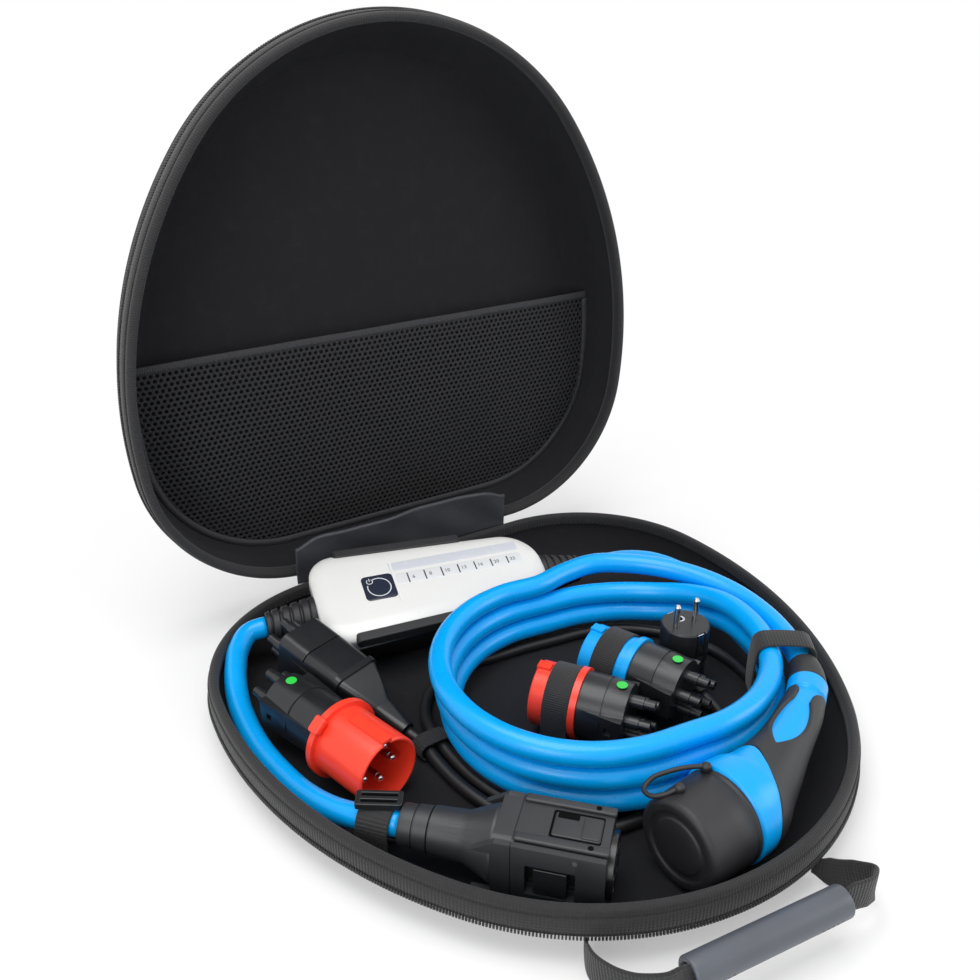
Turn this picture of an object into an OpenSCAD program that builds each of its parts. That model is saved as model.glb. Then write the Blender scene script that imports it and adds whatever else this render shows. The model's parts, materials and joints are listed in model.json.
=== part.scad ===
// Portable EV charging set packed in a round carry case with a hinged lid.
// Millimetres, +Z up, origin at the middle of the case underside, hinge at the rear (+Y).

/* [Case outline] */
// Radius of the front arc of the inner rim
front_r = 198; // [190:1:206]
// Distance of the front arc's centre in front of the origin
front_c = 42; // [38:1:46]
// Radius of the two long side arcs; the rear corners follow from it
side_r = 340; // [335:1:345]

/* [Case shells] */
// Wall of the moulded shells
wall = 5; // [4:0.5:5]
// Radius of the rounded outer edge
edge_r = 28; // [24:1:30]
// Height of the lower shell
base_h = 36; // [34:1:40]
// Depth of the lid shell
lid_h = 58; // [56:1:75]
// Opening angle of the lid
lid_open = 90; // [60:5:90]
// Thickness of the fabric rim binding
binding = 1; // [0.6:0.1:1.2]
// Height of the pocket hem above the hinge side, along the lid
hem_y = 8; // [0:1:20]

/* [Handle] */
// Diameter of the rubber grip sleeve
grip_d = 20; // [18:1:22]
// Width of the handle webbing
webbing_w = 22; // [18:1:24]

/* [Control box] */
// Length of the control box
box_l = 198; // [190:1:204]
// Width at the supply end
box_w_in = 94; // [88:1:96]
// Width at the vehicle end
box_w_out = 76; // [72:1:80]
// Thickness of the whole box
box_t = 46; // [44:1:47]
// Height of the white cover
cover_t = 15; // [13:1:17]

/* [Cables] */
// Diameter of the blue cable
cable_d = 17; // [15:0.5:17]
// Diameter of the black adapter lead
lead_d = 9; // [8:0.5:9]
// Radius of the coil's two round ends at the middle of the cable
coil_r = 103.5; // [103:0.5:104]
// Length of the straight runs between the coil's round ends
coil_run = 40; // [38:1:41]

/* [Plugs] */
// Radius of the large red shroud
big_r = 25; // [23:0.5:25]
// Radius of the small adapters' shrouds
small_r = 24; // [22:0.5:24]
// Radius of the vehicle plug's cap
cap_r = 31.5; // [30:0.5:32]
// Radius of the household plug
plug_r = 19; // [17:0.5:19]

/* [Hidden] */
$fn = 64;
nothing = 0.2;

// Colours of the real materials
fabric = [0.10, 0.10, 0.11];
lining = [0.07, 0.07, 0.08];
plastic = [0.13, 0.13, 0.14];
rubber = [0.20, 0.20, 0.21];
white = [0.93, 0.93, 0.92];
blue = [0.03, 0.58, 0.93];
red = [0.95, 0.20, 0.13];
green = [0.20, 0.80, 0.30];
metal = [0.80, 0.80, 0.82];
board = [0.10, 0.35, 0.20];

// Rim outline: the directions in which neighbouring arcs meet, in round fractions so that
// the arcs join without a step, and the centre of each arc
front_turn = [0.8, 0.6];
corner_step = [216, 25.5];
front_a = atan2(front_turn[0], front_turn[1]);
side_a = 90 + atan2(corner_step[1], corner_step[0]);
rear_r = side_r - norm(corner_step);
front_p = [0, -front_c];
side_p = front_p + (front_r - side_r) * [front_turn[0], -front_turn[1]];
rear_p = side_p + corner_step;
rear_y = rear_p[1] + rear_r;

// Case details that follow from the shells
floor_in = 40;
bead_r = wall / 2 + binding;
binding_drop = 7;
rim_gap = 0.5;
hinge_y = rear_y + wall + binding + 2.5;
hinge_z = base_h + bead_r + rim_gap;
lid_top = hinge_z + rim_gap + bead_r + lid_h;
zip_stop = 62;
zip_drop = 16;
tape_t = 1.2;
strip_w = 180;
strip_h = 15;
pocket_z = 14;
pocket_in = 5;
hem_w = 6;
gap_r = 8.6;
gap_pitch = [25.5, 19];
flap = [210, 1.6, 42];

// Handle: ends of the grip sleeve and the routes of the two webbing ends
grip_a = [-84, -267, 28];
grip_b = [25, -277, 28];
webbing_t = 2.4;
webbing_end = 12;
strap_left = [[-109.5, -211.3, 9.5], [-114.5, -220, 10], [-114, -240, 14.5], [-105, -257, 20],
              [-95, -265.5, 25.5], [-86, -266.9, 28], [-78, -267.55, 28]];
strap_right = [[46, -238.3, 9.5], [49.5, -247.5, 10], [57, -262, 15], [57, -273, 20.5],
               [47, -279, 25.5], [28, -277.3, 28], [18, -276.4, 28]];

// Control box: middle of its top face, tilt towards the front, turn in plan
box_at = [-29, 114, 60];
box_tilt = 17;
box_turn = -12;
corner_in = 22;
corner_out = 34;
grip_l = 112;
grip_x = -22;
window_at = [25, 5];
window_size = [112, 13];
touch_x = -46;
touch_size = 27;
field_depth = 0.9;
screw_spots = [[-84, 28], [-84, -28], [84, 22], [84, -22]];
board_z = -31;
board_t = 1.6;
boot_in = 40;
boot_out = 36;
boot_drop = 23;
seal_t = 1;

// A point of the control box in the frame of the case
function on_box(p) =
    let (y = p[1] * cos(box_tilt) - p[2] * sin(box_tilt),
         z = p[1] * sin(box_tilt) + p[2] * cos(box_tilt))
    box_at + [p[0] * cos(box_turn) - y * sin(box_turn), p[0] * sin(box_turn) + y * cos(box_turn), z];

// Supply connector: rear end, heading and length
supply_at = [-166, -94.5, 32.5];
supply_yaw = -46;
supply_l = 134;

// Routes of the cables, point by point
box_in = on_box([-box_l / 2 - boot_in, 0, -boot_drop]);
box_out = on_box([box_l / 2 + boot_out, 0, -boot_drop]);
supply_end = supply_at - 0.8 * [cos(supply_yaw), sin(supply_yaw), 0];
supply_route = [box_in, [-178, 150.5, 36.5], [-190, 140, 33], [-200.5, 120, 28.5], [-209, 92, 24],
                [-213, 60, 21.5], [-213.5, 30, 21], [-210, 0, 21], [-204, -30, 22.5], [-194.5, -56, 26],
                [-181.5, -77.5, 30.5], supply_end];
charge_route = [box_out, [126, 88, 38], [150, 82, 38], [171, 70, 36], [184, 51, 33], [187, 28, 30],
                [183, 2, 28], [172.6, -38, 25.6], [163, -74, 25.4], [148, -99, 25.4], [140.6, -109.7, 25.4]];
tail_route = [[38.8, 57.1, 60.2], [67.4, 61.8, 60.2], [99.1, 61.2, 60.2], [126.1, 44.6, 60],
              [147.5, 21.2, 60], [162.2, -6.9, 59.5], [169.5, -37.9, 58.5], [168.4, -69.7, 57.5],
              [160.4, -100.9, 56.2], [149.5, -123.5, 55.3], [146.4, -129.3, 55]];
lead_route = [[-114.7, -0.7, 15.7], [-109.5, -13, 12.5], [-108.5, -34, 10.5], [-107, -55, 9.6],
              [-103, -77, 9.6], [-96, -99, 9.6], [-85, -119, 9.6], [-69, -135, 9.6], [-48, -147, 9.6],
              [-22, -152, 9.6], [6, -154, 9.6], [34, -156.5, 9.6], [62, -156, 9.6], [89, -149, 9.6],
              [113, -135, 9.6], [133, -114, 9.6], [147, -89, 9.6], [153, -61, 9.6], [151, -33, 9.6],
              [141, -7, 9.6], [124, 15, 9.6], [101, 32, 9.6], [75, 41, 9.6], [48, 45, 9.6],
              [20, 49, 9.6], [-8, 51, 9.6], [-33, 53, 9.6], [-56, 49, 9.6], [-76, 37, 9.6],
              [-90, 18, 10], [-97.5, -10, 12.2], [-97, -34, 10.3], [-95.5, -55, 9.6], [-91.5, -75, 9.6],
              [-84.5, -94, 9.6], [-74, -111, 9.6], [-59, -125, 9.6], [-38, -134, 9.6], [-12, -138, 9.6],
              [16, -141, 9.6], [43, -142, 9.6], [67, -136, 9.6], [86, -122, 9.6], [98, -101, 10],
              [99.9, -79.5, 13]];

// Coil: middle of the lowest turn, step from turn to turn, and its turn in plan
turns = 3;
coil_at = [33, -52.3, 25.4];
turn_step = [-2.4, 3.2, cable_d + 0.4];
coil_yaw = -7.5;

// Adapters: middle of the shroud's open end, heading, length of the shroud and of the coupling
big_at = [-153, -50, 34];
big_yaw = 105;
big_l = [52, 62];
mid_at = [-20, -30, 33];
mid_yaw = -54.7;
mid_l = [36, 34];
blue_at = [43, -12, 33];
blue_yaw = -67.5;
blue_l = [42, 38];
coupling_big = 21;
coupling_small = 24.5;
rib_big = 34;
rib_small = 10;
strap_w = 20;
tie_w = 14;
strap_x = 11;
pin_back = 12;
post_l = 18;
post_ring = 13;
house_at = [-153.2, 107.4, 40.1];
house_yaw = -70.4;
house_dip = 12;
plug_at = [107, -46, wall];
plug_h = 53;
pin_gap = 19;
pin_l = 19;
pin_r = 2.4;
pin_root = 16;
gland_turn = -102;

// Vehicle plug: middle line of the handle with its width and height at each point
boot_route = [[146, -130, 55], [138, -141, 55.3], [130.2, -148.8, 55]];
boot_size = [[22, 22], [24, 24], [27, 27]];
handle_route = [[129, -150, 55], [118, -158, 54.5], [103, -167, 53], [86, -175.5, 51], [69, -183, 48.5],
                [53, -189, 45.5], [39, -193, 42], [28, -195.3, 39.7], [16, -197, 38], [6, -198, 37.5]];
handle_size = [[28, 28], [28, 29], [31, 33], [33, 36], [37, 40], [44, 46], [52, 54], [62, 62], [66, 66],
               [66, 66]];
skin_t = 2.4;
skin_from = 1;
skin_to = 6;
cap_at = [6, -198, 37.5];
cap_yaw = 186;
cap_l = 43;
tether_route = [[0, -184, 69], [-9, -178, 68], [-20, -172, 65], [-31, -169, 62], [-39, -172, 60],
                [-40, -179, 61], [-35, -185, 64], [-26, -189, 68.6]];

// Points on an arc, and the whole rim outline moved outwards by d
function arc(c, r, from, to, n, skip = 0) =
    [for (i = [skip:n]) let (a = from + (to - from) * i / n) c + r * [cos(a), sin(a)]];
function half_rim(d) = concat(
    arc(front_p, front_r + d, -90, front_a - 90, 9),
    arc(side_p, side_r + d, front_a - 90, side_a - 90, 8, 1),
    arc(rear_p, rear_r + d, side_a - 90, 90, 10, 1));
function rim_points(d) =
    let (h = half_rim(d)) concat(h, [for (i = [len(h) - 1:-1:1]) [-h[i][0], h[i][1]]]);
function rim_half_width(y, d) = y > rear_p[1]
    ? rear_p[0] + sqrt(pow(rear_r + d, 2) - pow(y - rear_p[1], 2))
    : side_p[0] + sqrt(pow(side_r + d, 2) - pow(y - side_p[1], 2));

// Rings of points round a route, and the closed solid that joins them
function unit(v) = v / norm(v);
function tangent(p, i) = unit(p[min(i + 1, len(p) - 1)] - p[max(i - 1, 0)]);
function side_of(t) = unit(cross(t, [0, 0, 1]));
function ring_at(p, i, size, n) =
    let (t = tangent(p, i), s = side_of(t), u = cross(s, t))
    [for (j = [0:n - 1]) p[i] + s * cos(j * 360 / n) * size[0] / 2 + u * sin(j * 360 / n) * size[1] / 2];
function band_at(p, i, w, t) =
    let (d = tangent(p, i), s = side_of(d), u = cross(s, d))
    [for (c = [[1, -1], [1, 1], [-1, 1], [-1, -1]]) p[i] + s * c[0] * t / 2 + u * c[1] * w / 2];
function skin_faces(rows, n) =
    [for (i = [0:rows - 2], j = [0:n - 1], k = [0, 1])
        let (a = i * n + j, b = i * n + (j + 1) % n, c = b + n, d = a + n) k == 0 ? [a, b, c] : [a, c, d]];

module loft(rings) {
    n = len(rings[0]);
    rows = len(rings);
    first = [for (j = [n - 1:-1:0]) j];
    last = [for (j = [0:n - 1]) (rows - 1) * n + j];
    polyhedron([for (r = rings) each r], concat(skin_faces(rows, n), [first, last]), convexity = 6);
}

module tube(route, d, n = 10) {
    loft([for (i = [0:len(route) - 1]) ring_at(route, i, [d, d], n)]);
}

// A piece whose own +X axis points along a heading, dipped below the level
module along(at, yaw, dip = 0) {
    translate(at)
        rotate([0, dip, yaw])
            children();
}

// Turn a flat section so that it is extruded along +X, with its second axis up
module lengthwise(l) {
    rotate([90, 0, 90])
        linear_extrude(l)
            children();
}

// A solid of revolution about +X
module turned() {
    rotate([0, 90, 0])
        rotate_extrude($fn = 96)
            children();
}

module rounded(w, h, r) {
    square([w - 2 * r, h], center = true);
    square([w, h - 2 * r], center = true);
    for (x = [-1, 1], y = [-1, 1])
        translate([x * (w / 2 - r), y * (h / 2 - r)])
            circle(r, $fn = 32);
}

// Carry a wall section round one arc of the rim
module sweep_arc(centre, r, from, to) {
    translate(centre)
        rotate_extrude(angle = to - from, start = from, $fn = 180)
            translate([r, 0])
                children();
}

// Carry a wall section round the whole rim, or round all but the hinge side
module sweep_rim(whole = true) {
    sweep_arc(front_p, front_r, -90 - front_a, -90 + front_a) children();
    for (s = [0, 1])
        mirror([s, 0, 0]) {
            sweep_arc(side_p, side_r, front_a - 90, side_a - 90) children();
            sweep_arc(rear_p, rear_r, side_a - 90, whole ? 90 : zip_stop) children();
        }
    if (whole)
        translate([-rear_p[0], rear_y, 0])
            lengthwise(2 * rear_p[0])
                children();
}

// Wall section of a shell: x runs outwards from the inner rim line, y is the height
module wall_section(h) {
    translate([0, edge_r])
        square([wall, h - edge_r]);
    translate([wall - edge_r, edge_r])
        difference() {
            intersection() {
                circle(edge_r, $fn = 96);
                translate([0, -edge_r])
                    square(edge_r);
            }
            circle(edge_r - wall, $fn = 96);
        }
    translate([-floor_in, 0])
        square([floor_in + wall - edge_r, wall]);
}

module shell(h) {
    sweep_rim()
        wall_section(h);
    linear_extrude(wall)
        polygon(rim_points(1 - floor_in));
}

// Fabric folded over the edge of a shell
module binding_section(h) {
    difference() {
        union() {
            translate([-binding, h - binding_drop])
                square([wall + 2 * binding, binding_drop]);
            translate([wall / 2, h])
                circle(bead_r);
        }
        translate([0, h - 2 * binding_drop])
            square([wall, 2 * binding_drop]);
    }
}

// Half of a zip, hanging from the binding with its teeth at the free edge
module zip_section(h) {
    translate([wall + binding, h - zip_drop])
        square([tape_t, zip_drop - 3]);
    translate([wall + binding + tape_t, h - zip_drop])
        circle(1.6, $fn = 24);
}

module hinge_strip(h) {
    translate([-strip_w / 2, rear_y + wall + binding, h + bead_r - rim_gap - strip_h])
        cube([strip_w, tape_t, strip_h]);
}

// Places the lid's pieces, which are drawn as a second lower half
module on_lid() {
    translate([0, hinge_y, hinge_z])
        rotate([-lid_open, 0, 0])
            translate([0, -hinge_y, lid_top - hinge_z])
                rotate([0, 180, 0])
                    children();
}

// Case, lower half

module base_shell() {
    color(fabric)
        shell(base_h);
}

module base_binding() {
    color(fabric)
        sweep_rim()
            binding_section(base_h);
}

module base_zip() {
    color(lining)
        sweep_rim(false)
            zip_section(base_h);
}

module base_hinge_strip() {
    color(fabric)
        hinge_strip(base_h);
}

module hinge_flap() {
    color(rubber)
        translate([-118, hinge_y - 3.5, hinge_z + 1])
            cube(flap);
}

// Two sliders, each run to its end of the zip, with a pull tab hanging from it
module zip_sliders() {
    reach = rear_r + wall + binding + tape_t + 1.9;
    color(metal)
        for (s = [0, 1])
            mirror([s, 0, 0])
                translate(concat(rear_p + reach * [cos(zip_stop - 3), sin(zip_stop - 3)], base_h - zip_drop))
                    rotate([0, 0, zip_stop - 3]) {
                        translate([0, -5, -4])
                            cube([4, 10, 8]);
                        translate([4, 0, -6])
                            rotate([0, 90, 0])
                                linear_extrude(1.4)
                                    difference() {
                                        rounded(22, 7, 3);
                                        translate([6, 0])
                                            circle(1.8, $fn = 24);
                                    }
                    }
}

module webbing(route) {
    last = len(route) - 1;
    loft([for (i = [0:last])
        band_at(route, i, i < 2 || i > last - 2 ? webbing_end : webbing_w, webbing_t)]);
}

module handle_straps() {
    color(fabric) {
        webbing(strap_left);
        webbing(strap_right);
    }
}

module handle_grip() {
    d = grip_b - grip_a;
    color(rubber)
        along(grip_a, atan2(d[1], d[0]))
            turned()
                translate([grip_d / 2 - 3, 0])
                    square([3, norm(d)]);
}

// Webbing arch over something round, standing on the case floor
module arch(r, t, drop_left, drop_right) {
    difference() {
        circle(r + t);
        circle(r);
        translate([-2 * r, -2 * r])
            square([4 * r, 2 * r]);
    }
    translate([r, -drop_right])
        square([t, drop_right]);
    translate([-r - t, -drop_left])
        square([t, drop_left]);
}

module hold_strap() {
    color(fabric)
        along([-184.5, -74.5, 30.5], supply_yaw - 4)
            lengthwise(22)
                arch(cable_d / 2 + 1.5, 1.8, 15, 23);
}

module strap_buckle() {
    color(plastic)
        translate([-174.4, -80.5, 42.6])
            rotate([0, 0, supply_yaw + 12])
                linear_extrude(4.5)
                    difference() {
                        rounded(30, 13, 2);
                        for (y = [-1, 1])
                            translate([0, y * 2.8])
                                square([23, 2.6], center = true);
                    }
}

// Elastic loops over the shrouds of the two adapters inside the coil
module adapter_straps() {
    color(fabric) {
        along(mid_at, mid_yaw)
            translate([strap_x, 0, 0])
                lengthwise(strap_w)
                    arch(small_r + 0.3, 1.6, mid_at[2] - wall, mid_at[2] - wall);
        along(blue_at, blue_yaw)
            translate([strap_x, 0, 0])
                lengthwise(strap_w)
                    arch(small_r + 0.3, 1.6, blue_at[2] - wall, blue_at[2] - wall);
    }
}

// Hook-and-loop wrap round the turns of the coil and the cable's tail
module coil_wrap() {
    color(fabric)
        along([142.2, -113.6, 43], -124)
            translate([-strap_w / 2, 0, 0])
                lengthwise(strap_w)
                    difference() {
                        rounded(44.2, 56.2, 9.5);
                        rounded(41.2, 53.2, 8);
                    }
}

module lead_tie() {
    color(fabric)
        along([-103.3, -18, 12.1], -88)
            translate([-tie_w / 2, 0, 0])
                lengthwise(tie_w)
                    difference() {
                        rounded(26.8, 14, 6.4);
                        rounded(24.6, 11.8, 5.4);
                    }
}

// Case, lid

module lid_shell() {
    color(fabric)
        on_lid()
            shell(lid_h);
}

module lid_binding() {
    color(fabric)
        on_lid()
            sweep_rim()
                binding_section(lid_h);
}

module lid_zip() {
    color(lining)
        on_lid()
            sweep_rim(false)
                zip_section(lid_h);
}

module lid_hinge_strip() {
    color(fabric)
        on_lid()
            hinge_strip(lid_h);
}

// Net pocket: a panel with rows of six-sided openings, set off by half a step in turn
module mesh_pocket() {
    color(lining)
        on_lid()
            translate([0, 0, pocket_z])
                linear_extrude(tape_t)
                    difference() {
                        intersection() {
                            polygon(rim_points(-pocket_in));
                            translate([-2 * rear_r, hem_y])
                                square([4 * rear_r, 2 * rear_r]);
                        }
                        for (row = [0:7]) {
                            y = hem_y + 14 + row * gap_pitch[1];
                            reach = rim_half_width(y, -pocket_in - 12);
                            shift = row % 2 * gap_pitch[0] / 2;
                            count = floor((reach - shift) / gap_pitch[0]);
                            for (i = [-count:count - row % 2])
                                translate([i * gap_pitch[0] + shift, y])
                                    circle(gap_r, $fn = 6);
                        }
                    }
}

module pocket_hem() {
    reach = rim_half_width(hem_y - hem_w, -pocket_in - 1);
    color(fabric)
        on_lid()
            translate([-reach, hem_y - hem_w, pocket_z - 0.6])
                cube([2 * reach, hem_w, tape_t + 1.2]);
}

// Control box, drawn with its top face at zero and placed by on_the_box

module on_the_box() {
    translate(box_at)
        rotate([box_tilt, 0, box_turn])
            children();
}

// Tapered outline with round corners, drawn in by the inset
module box_outline(inset) {
    r_in = max(corner_in - inset, 2);
    r_out = max(corner_out - inset, 2);
    x_in = box_l / 2 - inset - r_in;
    x_out = box_l / 2 - inset - r_out;
    y_in = box_w_in / 2 - inset - r_in;
    y_out = box_w_out / 2 - inset - r_out;
    polygon(concat(arc([x_out, y_out], r_out, 0, 90, 7), arc([-x_in, y_in], r_in, 90, 180, 6),
                   arc([-x_in, -y_in], r_in, 180, 270, 6), arc([x_out, -y_out], r_out, 270, 360, 7)));
}

module box_layer(z, inset) {
    translate([0, 0, z])
        linear_extrude(0.1)
            box_outline(inset);
}

module grip_bars(room) {
    for (s = [-1, 1])
        rotate([0, 0, -s * atan((box_w_in - box_w_out) / 2 / box_l)])
            translate([grip_x, s * (box_w_in + box_w_out) / 4, -5.5])
                rotate([90, 0, 0])
                    linear_extrude(9 + 2 * room, center = true)
                        rounded(grip_l + 2 * room, 9 + 2 * room, 4);
}

// Crowned white cover, hollow underneath
module box_cover() {
    color(white)
        on_the_box()
            difference() {
                hull() {
                    box_layer(-cover_t, 0);
                    box_layer(-7, 0);
                    box_layer(-2.5, 3.5);
                    box_layer(-0.1, 16);
                }
                hull() {
                    box_layer(-cover_t - 1, 3);
                    box_layer(-8, 3);
                    box_layer(-4, 10);
                }
                grip_bars(nothing);
                translate(concat(window_at, -field_depth))
                    linear_extrude(2)
                        rounded(window_size[0], window_size[1], 3);
                translate([touch_x, 0, -field_depth])
                    linear_extrude(2)
                        rounded(touch_size, touch_size, 4);
                for (p = screw_spots)
                    translate([p[0], p[1], -cover_t])
                        cylinder(r = 2, h = 8);
            }
}

module box_seal() {
    color(rubber)
        on_the_box()
            translate([0, 0, -cover_t - seal_t])
                linear_extrude(seal_t)
                    difference() {
                        box_outline(1);
                        box_outline(4);
                    }
}

module box_housing() {
    top = -cover_t - seal_t;
    color(plastic)
        on_the_box()
            difference() {
                hull() {
                    box_layer(top - 0.1, 0);
                    box_layer(-34, 1);
                    box_layer(-41, 5);
                    box_layer(-box_t, 14);
                }
                hull() {
                    box_layer(top, 4);
                    box_layer(-36, 5);
                    box_layer(-box_t + 4, 14);
                }
                translate([-box_l, 0, -boot_drop])
                    rotate([0, 90, 0])
                        cylinder(r = 9, h = 2 * box_l, $fn = 32);
                for (p = screw_spots)
                    translate([p[0], p[1], -box_t - 1])
                        cylinder(r = 2.2, h = 12);
            }
}

// Ribbed black inserts along both long edges of the cover
module box_grips() {
    color(rubber)
        on_the_box()
            grip_bars(0);
}

module box_board() {
    color(board)
        on_the_box()
            translate([0, 0, board_z])
                linear_extrude(board_t)
                    difference() {
                        box_outline(12);
                        for (x = [-70, 70])
                            translate([x, 0])
                                circle(1.8);
                    }
}

module box_relays() {
    color(lining)
        on_the_box()
            for (i = [-1.5:1.5])
                translate([i * 26 + 5, 8, board_z + board_t])
                    linear_extrude(11)
                        rounded(20, 28, 1);
}

module box_sensor() {
    color(metal)
        on_the_box()
            translate([70, 0, board_z + board_t])
                difference() {
                    cylinder(r = 12, h = 9);
                    translate([0, 0, -1])
                        cylinder(r = 7, h = 11);
                }
}

module box_window() {
    color([0.80, 0.82, 0.84])
        on_the_box()
            translate(concat(window_at, -field_depth))
                linear_extrude(0.8)
                    rounded(window_size[0] - 0.4, window_size[1] - 0.4, 2.9);
}

module box_touch_field() {
    color([0.15, 0.17, 0.22])
        on_the_box()
            translate([touch_x, 0, -field_depth])
                linear_extrude(field_depth)
                    rounded(touch_size - 0.4, touch_size - 0.4, 3.9);
}

module box_screws() {
    color(metal)
        on_the_box()
            for (p = screw_spots)
                translate([p[0], p[1], -cover_t - seal_t - 3]) {
                    cylinder(r = 1.9, h = 9);
                    cylinder(r = 3.4, h = 2);
                }
}

// Ribbed, tapering cable boot that starts on the end of the box
module cable_boot(l) {
    ribs = 5;
    step = l / ribs;
    turned()
        difference() {
            polygon([[cable_d / 2, 0], [17.5, 0], [17.5, 3], [11.5, l], [cable_d / 2, l]]);
            for (i = [1:ribs - 1])
                translate([17.5 - i * 6 / ribs - 1, i * step])
                    square([3, 1.4]);
        }
}

module box_boot_in() {
    color(rubber)
        on_the_box()
            translate([-box_l / 2, 0, -boot_drop])
                rotate([0, 0, 180])
                    cable_boot(boot_in);
}

module box_boot_out() {
    color(rubber)
        on_the_box()
            translate([box_l / 2, 0, -boot_drop])
                cable_boot(boot_out);
}

// Cables

module supply_cable() {
    color(blue)
        tube(supply_route, cable_d);
}

module charge_lead() {
    color(blue)
        tube(charge_route, cable_d);
}

// One turn of the coil: two half rings joined by straight runs
module coil_turn(r) {
    for (a = [0, 180])
        rotate([0, 0, a]) {
            translate([coil_run / 2, 0, 0])
                rotate_extrude(angle = 180, start = -90, $fn = 120)
                    translate([coil_r, 0])
                        circle(r, $fn = 48);
            translate([-coil_run / 2, coil_r, 0])
                rotate([0, 90, 0])
                    cylinder(r = r, h = coil_run, $fn = 48);
        }
}

module charge_coil() {
    color(blue)
        for (i = [0:turns - 1])
            translate(coil_at + i * turn_step)
                rotate([0, 0, coil_yaw])
                    coil_turn(cable_d / 2 + 0.25);
}

module charge_tail() {
    color(blue)
        tube(tail_route, cable_d);
}

// Supply connector, drawn along +X from its cable end

module supply_neck() {
    color(rubber)
        along(supply_at, supply_yaw)
            turned()
                difference() {
                    polygon([[0, 0], [13, 0], [13.4, 2], [13.4, 9], [14, 10], [14.4, 19], [15, 20], [16, 42],
                             [24, 60], [24, 62], [0, 62]]);
                    for (z = [9, 19])
                        translate([12.6, z])
                            square([3, 1]);
                }
}

module rib_plate() {
    difference() {
        polygon([[0, 0], [14, 9], [80, 9], [80, 0]]);
        translate([62, 4.5])
            circle(1.9, $fn = 24);
    }
}

// Squared housing with guide ribs along its four corners and a latch window on each side
module supply_housing() {
    color(plastic)
        along(supply_at, supply_yaw)
            difference() {
                union() {
                    translate([62, 0, 0])
                        lengthwise(supply_l - 66)
                            rounded(48, 48, 9);
                    for (s = [-1, 1], t = [-1, 1])
                        translate([50, s * 20 - 2, t * 15])
                            rotate([t > 0 ? 90 : -90, 0, 0])
                                translate([0, 0, -2])
                                    linear_extrude(4)
                                        rib_plate();
                }
                translate([-1, 0, 0])
                    turned()
                        polygon([[0, 0], [16, 0], [16, 43], [24, 61], [24, 63], [0, 63]]);
                translate([66, 0, 0])
                    turned()
                        square([20, supply_l]);
                for (s = [-1, 1])
                    translate([98, s * 24, 0])
                        rotate([90, 0, 0])
                            linear_extrude(10, center = true)
                                rounded(30, 22, 1);
                translate([74, -30, -30])
                    difference() {
                        cube([0.8, 60, 60]);
                        translate([-1, 6.8, 6.8])
                            cube([3, 46.4, 46.4]);
                    }
            }
}

module supply_latches() {
    color(rubber)
        along(supply_at, supply_yaw)
            for (s = [-1, 1])
                translate([88, s * 22.4 - 1.5, -9]) {
                    cube([20, 3, 18]);
                }
}

// End insert that takes the adapters' posts
module supply_insert() {
    color(lining)
        along(supply_at, supply_yaw)
            translate([66, 0, 0])
                difference() {
                    rotate([0, 90, 0])
                        cylinder(r = 19.8, h = supply_l - 66);
                    for (a = [0:72:359])
                        rotate([a, 0, 0])
                            translate([40, 0, post_ring])
                                rotate([0, 90, 0])
                                    cylinder(r = 4.2, h = supply_l, $fn = 32);
                }
}

// Adapters, drawn along +X from the open end of the shroud

module shroud(r, l, flange_r, rib_l) {
    difference() {
        union() {
            turned()
                polygon([[0, 0], [r - 1, 0], [r, 1], [r, l - 5], [flange_r, l - 5], [flange_r, l], [0, l]]);
            translate([0, -4, r - 2])
                cube([rib_l, 8, 4]);
        }
        translate([-1, 0, 0])
            turned()
                square([r - 2.2, l - 9]);
        translate([-1, -2.6, r - 4])
            cube([rib_l - 3, 5.2, 3.6]);
    }
}

module contact_pins(r, l, count) {
    for (i = [0:count - 1])
        rotate([i * 360 / count + 30, 0, 0])
            translate([pin_back, 0, r * 0.54])
                rotate([0, 90, 0]) {
                    translate([0, 0, 2])
                        cylinder(r = i == 0 ? 3.5 : 2.9, h = l - 12 - pin_back, $fn = 32);
                    sphere(r = 2.6, $fn = 32);
                    cylinder(r = 2.6, h = 3, $fn = 32);
                }
}

// Black coupling half: barrel with a seam, latch wedges on both sides and five posts
module coupling(from, l, r) {
    translate([from, 0, 0]) {
        difference() {
            union() {
                turned()
                    polygon([[0, 0], [r, 0], [r, l * 0.52], [r - 0.8, l * 0.52], [r - 0.8, l * 0.55],
                             [r, l * 0.55], [r - 1.5, l], [0, l]]);
                for (s = [-1, 1])
                    translate([0, s * (r - 3) - 5, -11])
                        linear_extrude(22)
                            polygon([[4, 5 - s * 4], [4, 5], [l - 4, 5 + s * 4], [l, 5 + s * 4],
                                     [l, 5 - s * 4]]);
            }
            for (s = [-1, 1])
                translate([l - 12, s * (r + 2), -2.5])
                    rotate([90, 0, 0])
                        linear_extrude(9, center = true)
                            square(5);
        }
        posts(l);
    }
}

module posts(l) {
    for (a = [0:72:359])
        rotate([a, 0, 0])
            translate([l - 0.01, 0, post_ring])
                rotate([0, 90, 0]) {
                    cylinder(r = 4.6, h = post_l - 8, $fn = 32);
                    difference() {
                        cylinder(r = 3.6, h = post_l, $fn = 32);
                        translate([0, 0, post_l - 6])
                            cylinder(r = 2.2, h = 8, $fn = 32);
                    }
                }
}

module big_shroud() {
    color(red)
        along(big_at, big_yaw)
            shroud(big_r, big_l[0], 29, rib_big);
}

module big_pins() {
    color(metal)
        along(big_at, big_yaw)
            contact_pins(big_r, big_l[0], 5);
}

module big_housing() {
    color(plastic)
        along(big_at, big_yaw)
            coupling(big_l[0], big_l[1], coupling_big);
}

module mid_shroud() {
    color(red)
        along(mid_at, mid_yaw)
            shroud(small_r, mid_l[0], 26.5, rib_small);
}

module mid_pins() {
    color(metal)
        along(mid_at, mid_yaw)
            contact_pins(small_r, mid_l[0], 5);
}

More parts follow.
